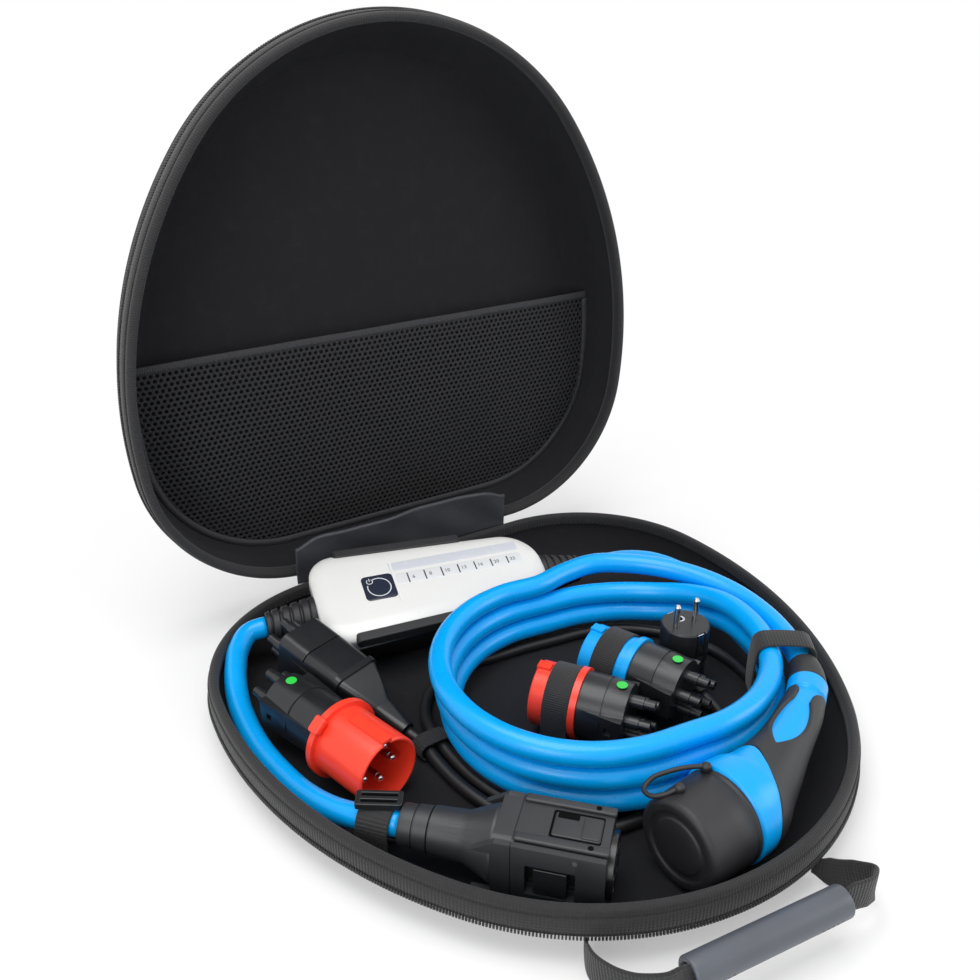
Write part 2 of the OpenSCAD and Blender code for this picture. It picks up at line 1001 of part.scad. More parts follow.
module mid_housing() {
    color(plastic)
        along(mid_at, mid_yaw)
            coupling(mid_l[0], mid_l[1], coupling_small);
}

module blue_shroud() {
    color(blue)
        along(blue_at, blue_yaw)
            shroud(small_r, blue_l[0], 26.5, rib_small);
}

module blue_pins() {
    color(metal)
        along(blue_at, blue_yaw)
            contact_pins(small_r, blue_l[0], 3);
}

module blue_housing() {
    color(plastic)
        along(blue_at, blue_yaw)
            coupling(blue_l[0], blue_l[1], coupling_small);
}

// A round coding mark on top of each coupling half
module coding_dots() {
    color(green) {
        along(big_at, big_yaw)
            translate([big_l[0] + 52, 0, 20.25])
                cylinder(r = 4, h = 1);
        along(mid_at, mid_yaw)
            translate([mid_l[0] + 27, 0, 24.15])
                cylinder(r = 4, h = 1);
        along(blue_at, blue_yaw)
            translate([blue_l[0] + 30, 0, 24.15])
                cylinder(r = 4, h = 1);
    }
}

// Household plug adapter: boxy coupling, flange and a tapered tail for the lead
module house_housing() {
    color(plastic)
        along(house_at, house_yaw, house_dip) {
            difference() {
                union() {
                    lengthwise(58)
                        rounded(40, 43, 8);
                    translate([58, 0, 0])
                        lengthwise(5)
                            rounded(42, 44, 6);
                    for (s = [-1, 1])
                        translate([8, s * 20 - 3, -9])
                            linear_extrude(18)
                                polygon([[0, 3], [44, 3 + s * 1.5], [50, 3 + s * 1.5], [50, 3], [0, 3 - s * 2]]);
                    hull() {
                        translate([63, 0, 0])
                            lengthwise(1)
                                rounded(38, 40, 5);
                        translate([90, 0, 0])
                            lengthwise(1)
                                rounded(18, 19, 5);
                    }
                    hull() {
                        translate([89, 0, 0])
                            lengthwise(1)
                                rounded(18, 19, 5);
                        translate([116, 0, 0])
                            lengthwise(1)
                                circle(7, $fn = 24);
                    }
                }
                translate([26, -25, 14])
                    cube([1, 50, 12]);
                for (s = [-1, 1])
                    translate([46, s * 21, 0])
                        rotate([90, 0, 0])
                            linear_extrude(10, center = true)
                                square(5, center = true);
            }
            rotate([0, 0, 180])
                posts(0);
        }
}

module house_lead() {
    color(lining)
        tube(lead_route, lead_d, 8);
}

// Household plug standing on its back: round face with a recess, side grooves and a cable gland
module house_plug() {
    color(plastic)
        translate(plug_at) {
            difference() {
                union() {
                    rotate_extrude($fn = 96)
                        polygon([[0, 0], [plug_r - 5, 0], [plug_r - 1, 6], [plug_r - 1, 22], [plug_r, 25],
                                 [plug_r, plug_h - 1], [plug_r - 1, plug_h], [0, plug_h]]);
                    rotate([0, 0, gland_turn])
                        translate([plug_r - 6, 0, 8])
                            rotate([0, 90, 0])
                                cylinder(r1 = 7, r2 = 5.2, h = 21, $fn = 32);
                }
                for (a = [0, 180])
                    rotate([0, 0, a + 90])
                        translate([plug_r - 2, -4.5, plug_h - 22])
                            cube([4, 9, 30]);
                for (s = [-1, 1])
                    translate([s * pin_gap / 2, 0, plug_h - pin_root])
                        cylinder(r = pin_r - 0.4, h = pin_root + 1, $fn = 32);
                translate([0, 7, plug_h - 3])
                    cylinder(r = 2.6, h = 5, $fn = 32);
            }
        }
}

module house_pins() {
    color(metal)
        translate(plug_at)
            for (s = [-1, 1])
                translate([s * pin_gap / 2, 0, plug_h]) {
                    translate([0, 0, -pin_root])
                        cylinder(r = pin_r - 0.4, h = pin_root + 1, $fn = 32);
                    cylinder(r = pin_r, h = pin_l - 1.5, $fn = 32);
                    translate([0, 0, pin_l - 1.5])
                        cylinder(r1 = pin_r, r2 = pin_r - 0.8, h = 1.5, $fn = 32);
                }
}

module house_clips() {
    color(metal)
        translate(plug_at)
            for (a = [0, 180])
                rotate([0, 0, a + 90])
                    translate([plug_r - 1.9, -3, plug_h - 21])
                        cube([1.2, 6, 20.4]);
}

// Vehicle plug

module vehicle_boot() {
    color(rubber)
        loft([for (i = [0:len(boot_route) - 1]) ring_at(boot_route, i, boot_size[i], 20)]);
}

function skinned(i) = i >= skin_from && i <= skin_to;

module vehicle_shell() {
    color(blue)
        loft([for (i = [0:len(handle_route) - 1])
            ring_at(handle_route, i, skinned(i) ? handle_size[i] - 2 * [skin_t, skin_t] : handle_size[i], 24)]);
}

// Soft skin round the handle, open over a lens-shaped window on top
module vehicle_grip() {
    rows = [for (i = [skin_from:skin_to]) i];
    inside = 2 * (skin_t - nothing) * [1, 1];
    inner = [for (i = rows) ring_at(handle_route, i, handle_size[i] - inside, 24)];
    outer = [for (i = rows) ring_at(handle_route, i, handle_size[i], 24)];
    color(rubber)
        difference() {
            loft(outer);
            loft(concat([2 * inner[0] - inner[1]], inner, [2 * inner[len(rows) - 1] - inner[len(rows) - 2]]));
            translate([82, -177, 52])
                rotate([0, 0, 205])
                    linear_extrude(40)
                        intersection() {
                            translate([0, 34])
                                circle(46);
                            translate([0, -34])
                                circle(46);
                        }
        }
}

// Contact face under the cap, with a flat top and seven contacts
module vehicle_insert() {
    color(lining)
        along(cap_at, cap_yaw)
            difference() {
                intersection() {
                    translate([1.5, 0, 0])
                        rotate([0, 90, 0])
                            cylinder(r = 27.5, h = 28.5);
                    translate([0, -30, -30])
                        cube([40, 60, 50]);
                }
                for (p = [[0, 0], [15, 0], [-15, 0], [8, 13], [-8, 13], [9, -14], [-9, -14]])
                    translate([8, p[0], p[1] - 4])
                        rotate([0, 90, 0])
                            cylinder(r = 3.2, h = 30, $fn = 32);
            }
}

module vehicle_cap() {
    color(rubber)
        along(cap_at, cap_yaw)
            difference() {
                turned()
                    polygon([[0, 2], [cap_r, 2], [cap_r, 3], [cap_r - 0.8, 30], [cap_r - 1, cap_l - 5],
                             [cap_r - 5, cap_l], [cap_r - 9, cap_l], [cap_r - 9.5, cap_l - 1.6],
                             [cap_r - 13, cap_l - 1.6],
                             [cap_r - 13.5, cap_l - 0.4], [0, cap_l - 0.4]]);
                turned()
                    translate([0, 1])
                        square([28, 33]);
            }
}

module vehicle_tether() {
    color(rubber)
        tube(tether_route, 3.2, 8);
}

base_shell();
base_binding();
base_zip();
base_hinge_strip();
hinge_flap();
zip_sliders();
handle_straps();
handle_grip();
hold_strap();
strap_buckle();
adapter_straps();
coil_wrap();
lead_tie();
lid_shell();
lid_binding();
lid_zip();
lid_hinge_strip();
mesh_pocket();
pocket_hem();
box_cover();
box_housing();
box_grips();
box_seal();
box_board();
box_relays();
box_sensor();
box_window();
box_touch_field();
box_screws();
box_boot_in();
box_boot_out();
supply_cable();
supply_neck();
supply_housing();
supply_latches();
supply_insert();
charge_lead();
charge_coil();
charge_tail();
big_housing();
big_shroud();
big_pins();
mid_housing();
mid_shroud();
mid_pins();
blue_housing();
blue_shroud();
blue_pins();
coding_dots();
house_housing();
house_lead();
house_plug();
house_pins();
house_clips();
vehicle_boot();
vehicle_shell();
vehicle_grip();
vehicle_insert();
vehicle_cap();
vehicle_tether();
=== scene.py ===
# %% [markdown]
# # A portable charging set in its zip case
# The object is a round, shallow carry case that stands open. In the lower half lie a control box,
# a coil of blue cable with a vehicle plug, a supply connector and four mains adapters; the lid
# carries a net pocket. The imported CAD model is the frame: every surface below is worked out in
# metres in that same frame, so a piece only has to know the numbers of the part it dresses.

# %% Load the frame
import json
import math

import bmesh
import bpy
import numpy as np
from mathutils import Matrix


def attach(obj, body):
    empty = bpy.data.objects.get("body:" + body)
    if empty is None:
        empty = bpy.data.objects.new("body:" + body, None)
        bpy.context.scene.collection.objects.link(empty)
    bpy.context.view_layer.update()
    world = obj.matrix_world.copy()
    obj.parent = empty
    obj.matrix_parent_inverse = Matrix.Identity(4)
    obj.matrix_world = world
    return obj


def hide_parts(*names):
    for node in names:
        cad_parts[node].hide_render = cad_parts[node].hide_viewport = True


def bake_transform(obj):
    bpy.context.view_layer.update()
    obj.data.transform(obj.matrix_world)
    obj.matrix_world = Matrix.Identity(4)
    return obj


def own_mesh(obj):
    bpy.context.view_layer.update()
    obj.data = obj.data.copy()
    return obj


MM = 0.001
UP = np.array([0, 0, 1.0])
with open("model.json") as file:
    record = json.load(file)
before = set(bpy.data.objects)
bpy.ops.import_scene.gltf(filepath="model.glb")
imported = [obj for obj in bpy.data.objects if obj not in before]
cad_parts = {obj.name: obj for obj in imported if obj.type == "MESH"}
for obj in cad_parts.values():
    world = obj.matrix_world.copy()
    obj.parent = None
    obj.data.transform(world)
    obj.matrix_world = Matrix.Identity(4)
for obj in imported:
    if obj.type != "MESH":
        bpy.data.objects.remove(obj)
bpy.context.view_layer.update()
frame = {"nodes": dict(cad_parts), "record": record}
nodes = frame["nodes"]
scene = bpy.context.scene
scene.view_settings.view_transform = "Standard"

# %% [markdown]
# ## Camera and light
# The photograph looks down at about 26 degrees from the left front, with a lens of about 37 mm on a
# square 36 mm sensor. The light is that of a product table: a pale floor, a bright surround and
# large soft lamps, so the black fabrics keep their folds and the blue jackets get long highlights.

# %% Camera
def unit(vectors):
    """Vectors cut or stretched to length one."""
    return vectors / np.linalg.norm(vectors, axis=-1, keepdims=True)


def stand(data, right, back, place):
    """Puts a camera or lamp at a place, with the directions of its right side and its back."""
    obj = bpy.data.objects.new(data.name, data)
    scene.collection.objects.link(obj)
    axes = np.eye(4)
    axes[:3] = np.column_stack([right, np.cross(back, right), back, place])
    obj.matrix_world = Matrix(axes.tolist())
    return obj


TURN, TILT, CAMERA_AT = math.radians(31.67), math.radians(26.33), (-0.3639, -0.5194, 0.4951)
look_right = np.array([math.cos(TURN), -math.sin(TURN), 0.0])
look_back = np.array([-math.sin(TURN) * math.cos(TILT), -math.cos(TURN) * math.cos(TILT),
                      math.sin(TILT)])
camera = bpy.data.cameras.new("photo_camera")
camera.lens, camera.sensor_width = 36.66, 36.0
camera.clip_start, camera.clip_end = 0.02, 30
scene.camera = stand(camera, look_right, look_back, CAMERA_AT)
print("camera at", list(scene.camera.matrix_world.translation))

# %% Lamps and surround
def set_inputs(tree, node, inputs):
    """Fills sockets, given by name or number, with a value or with a link from another socket."""
    for key, value in dict(inputs).items():
        if isinstance(value, bpy.types.NodeSocket):
            tree.links.new(value, node.inputs[key])
        else:
            node.inputs[key].default_value = value


def add_node(tree, kind, inputs=(), **settings):
    """A shader node with its settings and its inputs."""
    node = tree.nodes.new("ShaderNode" + kind)
    for key, value in settings.items():
        setattr(node, key, value)
    set_inputs(tree, node, inputs)
    return node


def maths(tree, operation, *values, **settings):
    """The result of a math node whose inputs are numbers or other sockets."""
    return add_node(tree, "Math", enumerate(values), operation=operation, **settings).outputs[0]


LAMP_AIM = (0, 0, 0.1)
SKY_LIGHT, SKY_SEEN = 0.6, 1.0
for name, place, size, power in (("top_softbox", (-0.25, 0.0, 1.5), 1.1, 14),
                                 ("left_softbox", (-1.4, -0.9, 0.9), 0.9, 9),
                                 ("right_softbox", (1.3, -1.0, 0.8), 0.8, 6)):
    lamp = bpy.data.lights.new(name, "AREA")
    lamp.shape, lamp.size, lamp.energy = "SQUARE", size, power
    away = unit(np.array(place) - LAMP_AIM)
    stand(lamp, unit(np.cross((0.0, 1.0, 0.01), away)), away, place)

scene.world = bpy.data.worlds.new("bright_surround")
scene.world.use_nodes = True
sky = scene.world.node_tree
sky.nodes.clear()
rays = add_node(sky, "LightPath").outputs
seen = maths(sky, "ADD", rays["Is Camera Ray"], rays["Is Glossy Ray"])
seen = maths(sky, "ADD", seen, rays["Is Transmission Ray"], use_clamp=True)
lit, backdrop = (add_node(sky, "Background", {"Color": (1, 1, 1, 1), "Strength": strength}).outputs[0]
                 for strength in (SKY_LIGHT, SKY_SEEN))
add_node(sky, "OutputWorld", {0: add_node(sky, "MixShader", {0: seen, 1: lit, 2: backdrop}).outputs[0]})
print("lamps and surround ready")

# %% [markdown]
# ## Tools of the lesson
# Almost everything here is one of three things: a grid of points, a profile carried along a line, or
# a small shape repeated along a line. The helpers below make those from whole arrays. UV maps are in
# metres along the surface, so that a weave keeps its thread size on every piece.

# %% Meshes from arrays
LOOKS = {}


def make_mesh(name, points, groups, loop_uv=None):
    """A smooth mesh from points and groups of faces; each group is an index array, one row per face."""
    mesh = bpy.data.meshes.new(name)
    corners = np.concatenate([g.ravel() for g in groups]).astype(np.int32)
    sizes = np.concatenate([np.full(len(g), g.shape[1]) for g in groups])
    mesh.vertices.add(len(points))
    mesh.vertices.foreach_set("co", np.asarray(points, np.float32).ravel())
    mesh.loops.add(len(corners))
    mesh.loops.foreach_set("vertex_index", corners)
    mesh.polygons.add(len(sizes))
    mesh.polygons.foreach_set("loop_start", (np.cumsum(sizes) - sizes).astype(np.int32))
    mesh.update(calc_edges=True)
    if loop_uv is not None:
        mesh.uv_layers.new(name="UVMap").data.foreach_set("uv", np.asarray(loop_uv, np.float32).ravel())
    mesh.polygons.foreach_set("use_smooth", np.ones(len(sizes), bool))
    return mesh


def volume_sign(points, quads):
    """The sign of the closed volume that the quads bound: the sum of corner triple products."""
    a, b, c, d = (points[quads[:, i]] for i in range(4))
    return np.sign((a * np.cross(b, c)).sum() + (a * np.cross(c, d)).sum())


def grid_mesh(name, grid, wrap=(False, False), caps=False, uv=None, flip=None):
    """Each cell of a (rows, columns, 3) grid becomes a face. wrap closes rows or columns, caps closes
    both ends. uv gives two arrays of the same shape, one longer where wrapped, or lengths are used.
    A closed surface is turned outwards by its volume; flip turns an open one round."""
    rows, cols = grid.shape[:2]
    a, b = (x.ravel() for x in np.meshgrid(np.arange(rows if wrap[0] else rows - 1),
                                           np.arange(cols if wrap[1] else cols - 1), indexing="ij"))
    corner = [(a, b), (a, b + 1), (a + 1, b + 1), (a + 1, b)]
    quads = np.stack([(i % rows) * cols + j % cols for i, j in corner], -1)
    points = grid.reshape(-1, 3)
    if uv is None:
        along = np.linalg.norm(np.diff(np.concatenate([grid, grid[:1]]), axis=0), axis=2).mean(1)
        across = np.linalg.norm(np.diff(np.concatenate([grid, grid[:, :1]], 1), axis=1), axis=2).mean(0)
        u, v = np.concatenate([[0], np.cumsum(along)]), np.concatenate([[0], np.cumsum(across)])
        loop_uv = np.stack([np.stack([u[i], v[j]], -1) for i, j in corner], 1)
    else:
        loop_uv = np.stack([np.stack([uv[0][i, j], uv[1][i, j]], -1) for i, j in corner], 1)
    turn_round = flip if flip is not None else volume_sign(points, quads) < 0
    if turn_round:
        quads, loop_uv = quads[:, ::-1], loop_uv[:, ::-1]
    groups, parts = [quads], [loop_uv.reshape(-1, 2)]
    if caps:
        for row, back in ((0, turn_round), (rows - 1, not turn_round)):
            cap = (row * cols + np.arange(cols))[None, ::1 if back else -1]
            groups.append(cap)
            parts.append(points[cap[0]][:, :2])
    return make_mesh(name, points, groups, np.concatenate(parts))


def piece(mesh, looks, slot=None, stands_for=(), body="base"):
    """Puts a mesh into the scene at the origin, with its finishes, its body and the CAD nodes that it stands
    for. The slot is not used."""
    obj = bpy.data.objects.new(mesh.name, mesh)
    scene.collection.objects.link(obj)
    for look in looks.split():
        mesh.materials.append(LOOKS[look])
    if body:
        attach(obj, body)
    if stands_for:
        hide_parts(*stands_for)
    return obj


def lofted(name, grid, look, slot, stands_for=(), body="base", closed=False):
    """A piece from rings of points: the ends are capped, or joined where the row of rings is closed."""
    return piece(grid_mesh(name, grid, (closed, True), caps=not closed), look, slot, stands_for, body)


print("mesh tools ready")

# %% Lines and profiles
def run_along(line):
    """The distance from the start of a line to each of its points."""
    return np.concatenate([[0], np.cumsum(np.linalg.norm(np.diff(line, axis=0), axis=1))])


def smooth_line(points, step, closed=False):
    """A curve through the points with slopes from the neighbours on both sides, weighted by distance,
    cut into equal steps of arc length."""
    p = np.asarray(points, float)
    if closed:
        p = np.concatenate([p[-2:], p, p[:3]])
    d = np.maximum(np.linalg.norm(np.diff(p, axis=0), axis=1), 1e-9)[:, None]
    s = np.diff(p, axis=0) / d
    mid = (s[:-1] * d[1:] + s[1:] * d[:-1]) / (d[1:] + d[:-1])
    m = np.concatenate([1.5 * s[:1] - 0.5 * mid[:1], mid, 1.5 * s[-1:] - 0.5 * mid[-1:]])
    t = np.linspace(0, 1, 33)[:-1][None, :, None]
    p0, p1, m0, m1, w = p[:-1, None], p[1:, None], m[:-1, None], m[1:, None], d[:, None]
    dense = ((2 * t**3 - 3 * t**2 + 1) * p0 + (t**3 - 2 * t**2 + t) * w * m0
             + (3 * t**2 - 2 * t**3) * p1 + (t**3 - t**2) * w * m1)
    dense = (dense[2:-3] if closed else dense).reshape(-1, p.shape[1])
    dense = np.concatenate([dense, dense[:1] if closed else p[-1:]])
    length = run_along(dense)
    at = np.linspace(0, length[-1], max(int(round(length[-1] / step)), 2) + 1)
    line = np.stack([np.interp(at, length, dense[:, i]) for i in range(p.shape[1])], 1)
    return line[:-1] if closed else line


def carry(profile, line, closed=False, up=UP):
    """A profile of (side, up) offsets carried along a line: grid[i, j] = line[i] + side*x[j] + up*y[j].
    The side lies square to the line's direction and to up."""
    ahead = unit(np.roll(line, -1, 0) - np.roll(line, 1, 0) if closed else np.gradient(line, axis=0))
    side = unit(np.cross(ahead, up))
    above = np.cross(side, ahead)
    profile = np.asarray(profile, float)
    if profile.ndim == 2:
        profile = np.broadcast_to(profile, (len(line),) + profile.shape)
    return line[:, None] + side[:, None] * profile[..., :1] + above[:, None] * profile[..., 1:]


def circle_profile(diameter, count):
    """A circle: the cosine and sine of equal angles, times half the diameter."""
    a = np.linspace(0, 2 * np.pi, count, endpoint=False)
    return np.stack([np.cos(a) * diameter / 2, np.sin(a) * diameter / 2], 1)


def slab_profile(width, height, radius, each=5):
    """A rounded rectangle: a quarter circle of points at each corner."""
    a = np.linspace(0, np.pi / 2, each)
    quarter = np.stack([np.cos(a), np.sin(a)], 1) * radius
    parts = []
    for k, (x, y) in enumerate([(1, 1), (-1, 1), (-1, -1), (1, -1)]):
        c, s = math.cos(k * math.pi / 2), math.sin(k * math.pi / 2)
        parts.append(quarter @ np.array([[c, s], [-s, c]])
                     + np.array([x * (width / 2 - radius), y * (height / 2 - radius)]))
    return np.concatenate(parts)


def repeat(name, shape, places, xs, ys, zs):
    """One small shape, points and faces, set at many places: every copy is place + x*px + y*py + z*pz."""
    points, faces = shape
    copies = (places[:, None] + xs[:, None] * points[None, :, :1] + ys[:, None] * points[None, :, 1:2]
              + zs[:, None] * points[None, :, 2:])
    groups = [(np.arange(len(places))[:, None, None] * len(points) + g[None]).reshape(-1, g.shape[1])
              for g in faces]
    return make_mesh(name, copies.reshape(-1, 3), groups)


def rotated(a, b, angle):
    """The pair (a, b) turned by an angle in its own plane."""
    c, s = math.cos(angle), math.sin(angle)
    return a * c - b * s, a * s + b * c


def mm(values):
    """Millimetres as metres."""
    return np.asarray(values, float) * MM


print("line tools ready")

# %% [markdown]
# ## Finishes
# The set is made of few materials: woven nylon and knitted lining, ribbed webbing, moulded plastics in
# black, white, red and blue, soft rubber, smooth cable jackets and plated metal. What several of them
# share, such as threads, moulded grain and handling marks, is a node group that is built once. Cloth
# reads the UV map in metres; hard pieces read Object coordinates.

# %% Node groups
MOTTLE, RUB, RUB_FROM, RUB_TO = 38.0, 95.0, 0.52, 0.78


def new_group(name, amount, value, outputs):
    """An empty shader group that takes a vector and one amount: the group, those two sockets and its
    output node."""
    group = bpy.data.node_groups.new(name, "ShaderNodeTree")
    group.interface.new_socket("Vector", in_out="INPUT", socket_type="NodeSocketVector")
    group.interface.new_socket(amount, in_out="INPUT", socket_type="NodeSocketFloat").default_value = value
    for label in outputs:
        group.interface.new_socket(label, in_out="OUTPUT", socket_type="NodeSocketFloat")
    given, out = (group.nodes.new("NodeGroup" + end) for end in ("Input", "Output"))
    return group, given.outputs["Vector"], given.outputs[amount], out


def noise(tree, vector, scale, detail=3.0, roughness=0.55):
    """The value of a noise texture."""
    return add_node(tree, "TexNoise", {"Vector": vector, "Scale": scale, "Detail": detail,
                                       "Roughness": roughness}).outputs[0]


def woven_threads():
    """Plain weave: each thread is an arched bar, and which of the two lies on top changes like a chess
    board."""
    group, vector, threads, out = new_group("woven_threads", "Threads", 1000.0, ["Height", "Tone"])

    def do(operation, *values):
        return maths(group, operation, *values)

    split = add_node(group, "SeparateXYZ", {0: vector}).outputs
    x, y = (do("MULTIPLY", split[i], threads) for i in (0, 1))
    arch = [do("ABSOLUTE", do("SINE", do("MULTIPLY", t, math.pi))) for t in (x, y)]
    board = do("FLOORED_MODULO", do("ADD", do("FLOOR", x), do("FLOOR", y)), 2.0)
    dip = [do("MULTIPLY_ADD", t, 0.6, 0.4) for t in arch]
    warp, weft = do("MULTIPLY", arch[0], dip[1]), do("MULTIPLY", arch[1], dip[0])
    height = do("ADD", do("MULTIPLY", warp, board), do("MULTIPLY", weft, do("SUBTRACT", 1.0, board)))
    set_inputs(group, out, {"Height": height, "Tone": noise(group, vector, do("MULTIPLY", threads, 0.35))})
    return group


def cross_ribs():
    """Ribs across the first UV axis and weaker ones across the second: sine waves, scaled and lifted."""
    group, vector, ribs, out = new_group("cross_ribs", "Ribs", 600.0, ["Height", "Tone"])

    def do(operation, *values):
        return maths(group, operation, *values)

    split = add_node(group, "SeparateXYZ", {0: vector}).outputs
    wave, cross = (do("SINE", do("MULTIPLY", do("MULTIPLY", split[i], ribs), math.tau)) for i in (0, 1))
    height = do("MULTIPLY_ADD", do("MULTIPLY_ADD", cross, 0.35, wave), 0.4, 0.5)
    set_inputs(group, out, {"Height": height, "Tone": noise(group, vector, do("MULTIPLY", ribs, 0.4))})
    return group


def moulded_grain():
    """Spark-eroded mould texture as fine noise, and the slow mottling of a large moulding."""
    group, vector, grain, out = new_group("moulded_grain", "Grain", 2500.0, ["Height", "Tone"])
    set_inputs(group, out, {"Height": noise(group, vector, grain, 2.0),
                            "Tone": noise(group, vector, MOTTLE, 4.0)})
    return group


def handling_marks():
    """Rubbed patches and lint: the top end of a stretched noise, from nothing to a soft mark."""
    group, vector, amount, out = new_group("handling_marks", "Amount", 0.2, ["Mask"])
    reach = add_node(group, "MapRange", {"Value": noise(group, vector, RUB, 6.0, 0.7),
                                         "From Min": RUB_FROM, "From Max": RUB_TO})
    set_inputs(group, out, {"Mask": maths(group, "MULTIPLY", reach.outputs[0], amount)})
    return group


SURFACES = {"cloth": woven_threads(), "ribs": cross_ribs(), "grain": moulded_grain()}
MARKS = handling_marks()
print("node groups:", [g.name for g in bpy.data.node_groups])

# %% Finishes from the groups
GLOSS_SPREAD, MARK_GLOSS, COAT_ROUGH, SHEEN_ROUGH = 0.12, 0.3, 0.12, 0.5


def linear(srgb):
    """Screen values from 0 to 255 as linear light."""
    c = np.asarray(srgb, float) / 255
    return np.where(c <= 0.04045, c / 12.92, ((c + 0.055) / 1.055) ** 2.4)


def finish(name, srgb, rough, surface="grain", size=2500.0, depth=0.00006, tone=0.12, marks=0.08,
           metallic=0.0, coat=0.0, sheen=0.0, specular=0.5):
    """One material: the surface group gives bump and tone, the marks group lightens and dulls in patches."""
    LOOKS[name] = bpy.data.materials.new(name)
    LOOKS[name].use_nodes = True
    tree = LOOKS[name].node_tree
    coords = add_node(tree, "TexCoord").outputs
    where = coords["Object" if surface == "grain" else "UV"]
    body = add_node(tree, "Group", node_tree=SURFACES[surface])
    rubbed = add_node(tree, "Group", node_tree=MARKS)
    set_inputs(tree, body, {0: where, 1: size})
    set_inputs(tree, rubbed, {0: coords["Object"], 1: marks})
    body, mask, own = body.outputs, rubbed.outputs["Mask"], linear(srgb)
    shades = add_node(tree, "Mix", data_type="RGBA")
    worn = add_node(tree, "Mix", data_type="RGBA")
    set_inputs(tree, shades, {"Factor": body["Tone"], "A": (*(own * (1 - tone)), 1),
                              "B": (*np.minimum(own * (1 + tone), 1), 1)})
    set_inputs(tree, worn, {"Factor": mask, "A": shades.outputs["Result"],
                            "B": (*np.minimum(own * 0.85 + 0.06, 1), 1)})
    gloss = maths(tree, "MULTIPLY_ADD", body["Tone"], GLOSS_SPREAD, rough - GLOSS_SPREAD / 2)
    bump = add_node(tree, "Bump", {"Distance": depth, "Height": body["Height"]})
    set_inputs(tree, tree.nodes["Principled BSDF"], {
        "Base Color": worn.outputs["Result"], "Normal": bump.outputs[0],
        "Roughness": maths(tree, "MULTIPLY_ADD", mask, MARK_GLOSS, gloss), "Metallic": metallic,
        "Coat Weight": coat, "Coat Roughness": COAT_ROUGH, "Sheen Weight": sheen,
        "Sheen Roughness": SHEEN_ROUGH, "Specular IOR Level": specular})
    return LOOKS[name]


finish("case_cloth", (31, 31, 34), 0.86, "cloth", 950, 0.00035, 0.25, 0.15, sheen=0.05)
finish("lining_cloth", (19, 19, 24), 0.88, "cloth", 1300, 0.00025, 0.25, 0.12, sheen=0.03, specular=0.35)
finish("binding_cloth", (29, 29, 31), 0.82, "ribs", 520, 0.0003, 0.2, 0.15, sheen=0.1)
finish("hem_cloth", (45, 45, 49), 0.75, "ribs", 520, 0.0003, 0.2, 0.1, sheen=0.05)
finish("webbing_cloth", (30, 30, 32), 0.8, "ribs", 430, 0.0004, 0.25, 0.15, sheen=0.15)
finish("elastic_cloth", (24, 24, 26), 0.75, "ribs", 620, 0.0003, 0.2, 0.1, sheen=0.15)
finish("net_thread", (20, 20, 24), 0.7, "cloth", 2600, 0.00012, 0.2, 0.1, sheen=0.04)
finish("flap_cloth", (56, 57, 62), 0.44, "cloth", 1500, 0.00012, 0.2, 0.2)
finish("stitch_thread", (44, 44, 47), 0.7, "grain", 4000, 0.0001, 0.2, 0.0)
finish("grip_plastic", (84, 88, 96), 0.36, depth=0.00003)
finish("zip_teeth", (22, 22, 24), 0.38)
finish("black_plastic", (30, 31, 34), 0.31, depth=0.00003)
finish("smooth_black", (19, 19, 21), 0.26, depth=0.00002)
finish("shadow_gap", (5, 5, 6), 0.9, tone=0.05, marks=0.0, specular=0.1)
finish("charcoal_satin", (43, 45, 48), 0.44, size=3200)
finish("soft_rubber", (30, 30, 33), 0.52, size=3600)
finish("skin_rubber", (32, 33, 36), 0.5, size=3600)
finish("white_cover", (226, 226, 224), 0.3, depth=0.00002, tone=0.02, marks=0.02, coat=0.25)
finish("window_film", (219, 221, 223), 0.24, depth=0.00001, tone=0.03, marks=0.02, coat=0.3)
finish("touch_film", (42, 48, 64), 0.16, depth=0.00001, tone=0.1, marks=0.03, coat=0.5)
finish("band_film", (202, 205, 213), 0.26, depth=0.00001, tone=0.02, marks=0.0)
finish("print_grey", (70, 73, 78), 0.4, depth=0.00001, marks=0.0)
finish("print_pale", (205, 210, 216), 0.4, depth=0.00001, marks=0.0)
finish("blue_jacket", (0, 164, 244), 0.27, depth=0.00002, tone=0.05, marks=0.03, specular=0.4)
finish("blue_plastic", (0, 164, 244), 0.3, depth=0.00002, tone=0.05, marks=0.03, specular=0.4)
finish("red_plastic", (248, 66, 44), 0.32, depth=0.00003, tone=0.06, marks=0.05)
finish("green_mark", (52, 205, 78), 0.3, depth=0.00002, tone=0.06, marks=0.0)
finish("black_jacket", (27, 27, 29), 0.46, depth=0.00003)
finish("plated_metal", (206, 206, 210), 0.2, depth=0.00001, metallic=1.0)
finish("circuit_board", (24, 96, 54), 0.42)
print("finishes:", len(LOOKS))

# %% [markdown]
# ## Cables
# A round cable is one circle carried along a smooth line, but first its facts: where it leaves a
# housing, how thick and how long it is, and what sits on its far end. The blue cables are 17 mm thick
# and stiff, the adapter's black lead is 9 mm. The charging cable comes out of the control box, swings
# wide to the right, is wound into three oblong turns, each on top of the last, and ends in the vehicle
# plug. The blue cables are seen from end to end; the black lead goes out of sight under the coil, where
# its route is a guess. Each is drawn with its whole length.

# %% Routes
BOX_AT, BOX_TILT, BOX_TURN = np.array([-29.0, 114.0, 60.0]), math.radians(17), math.radians(-12)
PORT_Z = -23


def on_box(points):
    """Points of the control box, in millimetres from the middle of its top, in the case's frame in metres:
    tilted about X, then turned about Z."""
    p = np.asarray(points, float)
    y, z = rotated(p[..., 1], p[..., 2], BOX_TILT)
    x, y = rotated(p[..., 0], y, BOX_TURN)
    return (np.stack([x, y, z], -1) + BOX_AT) * MM


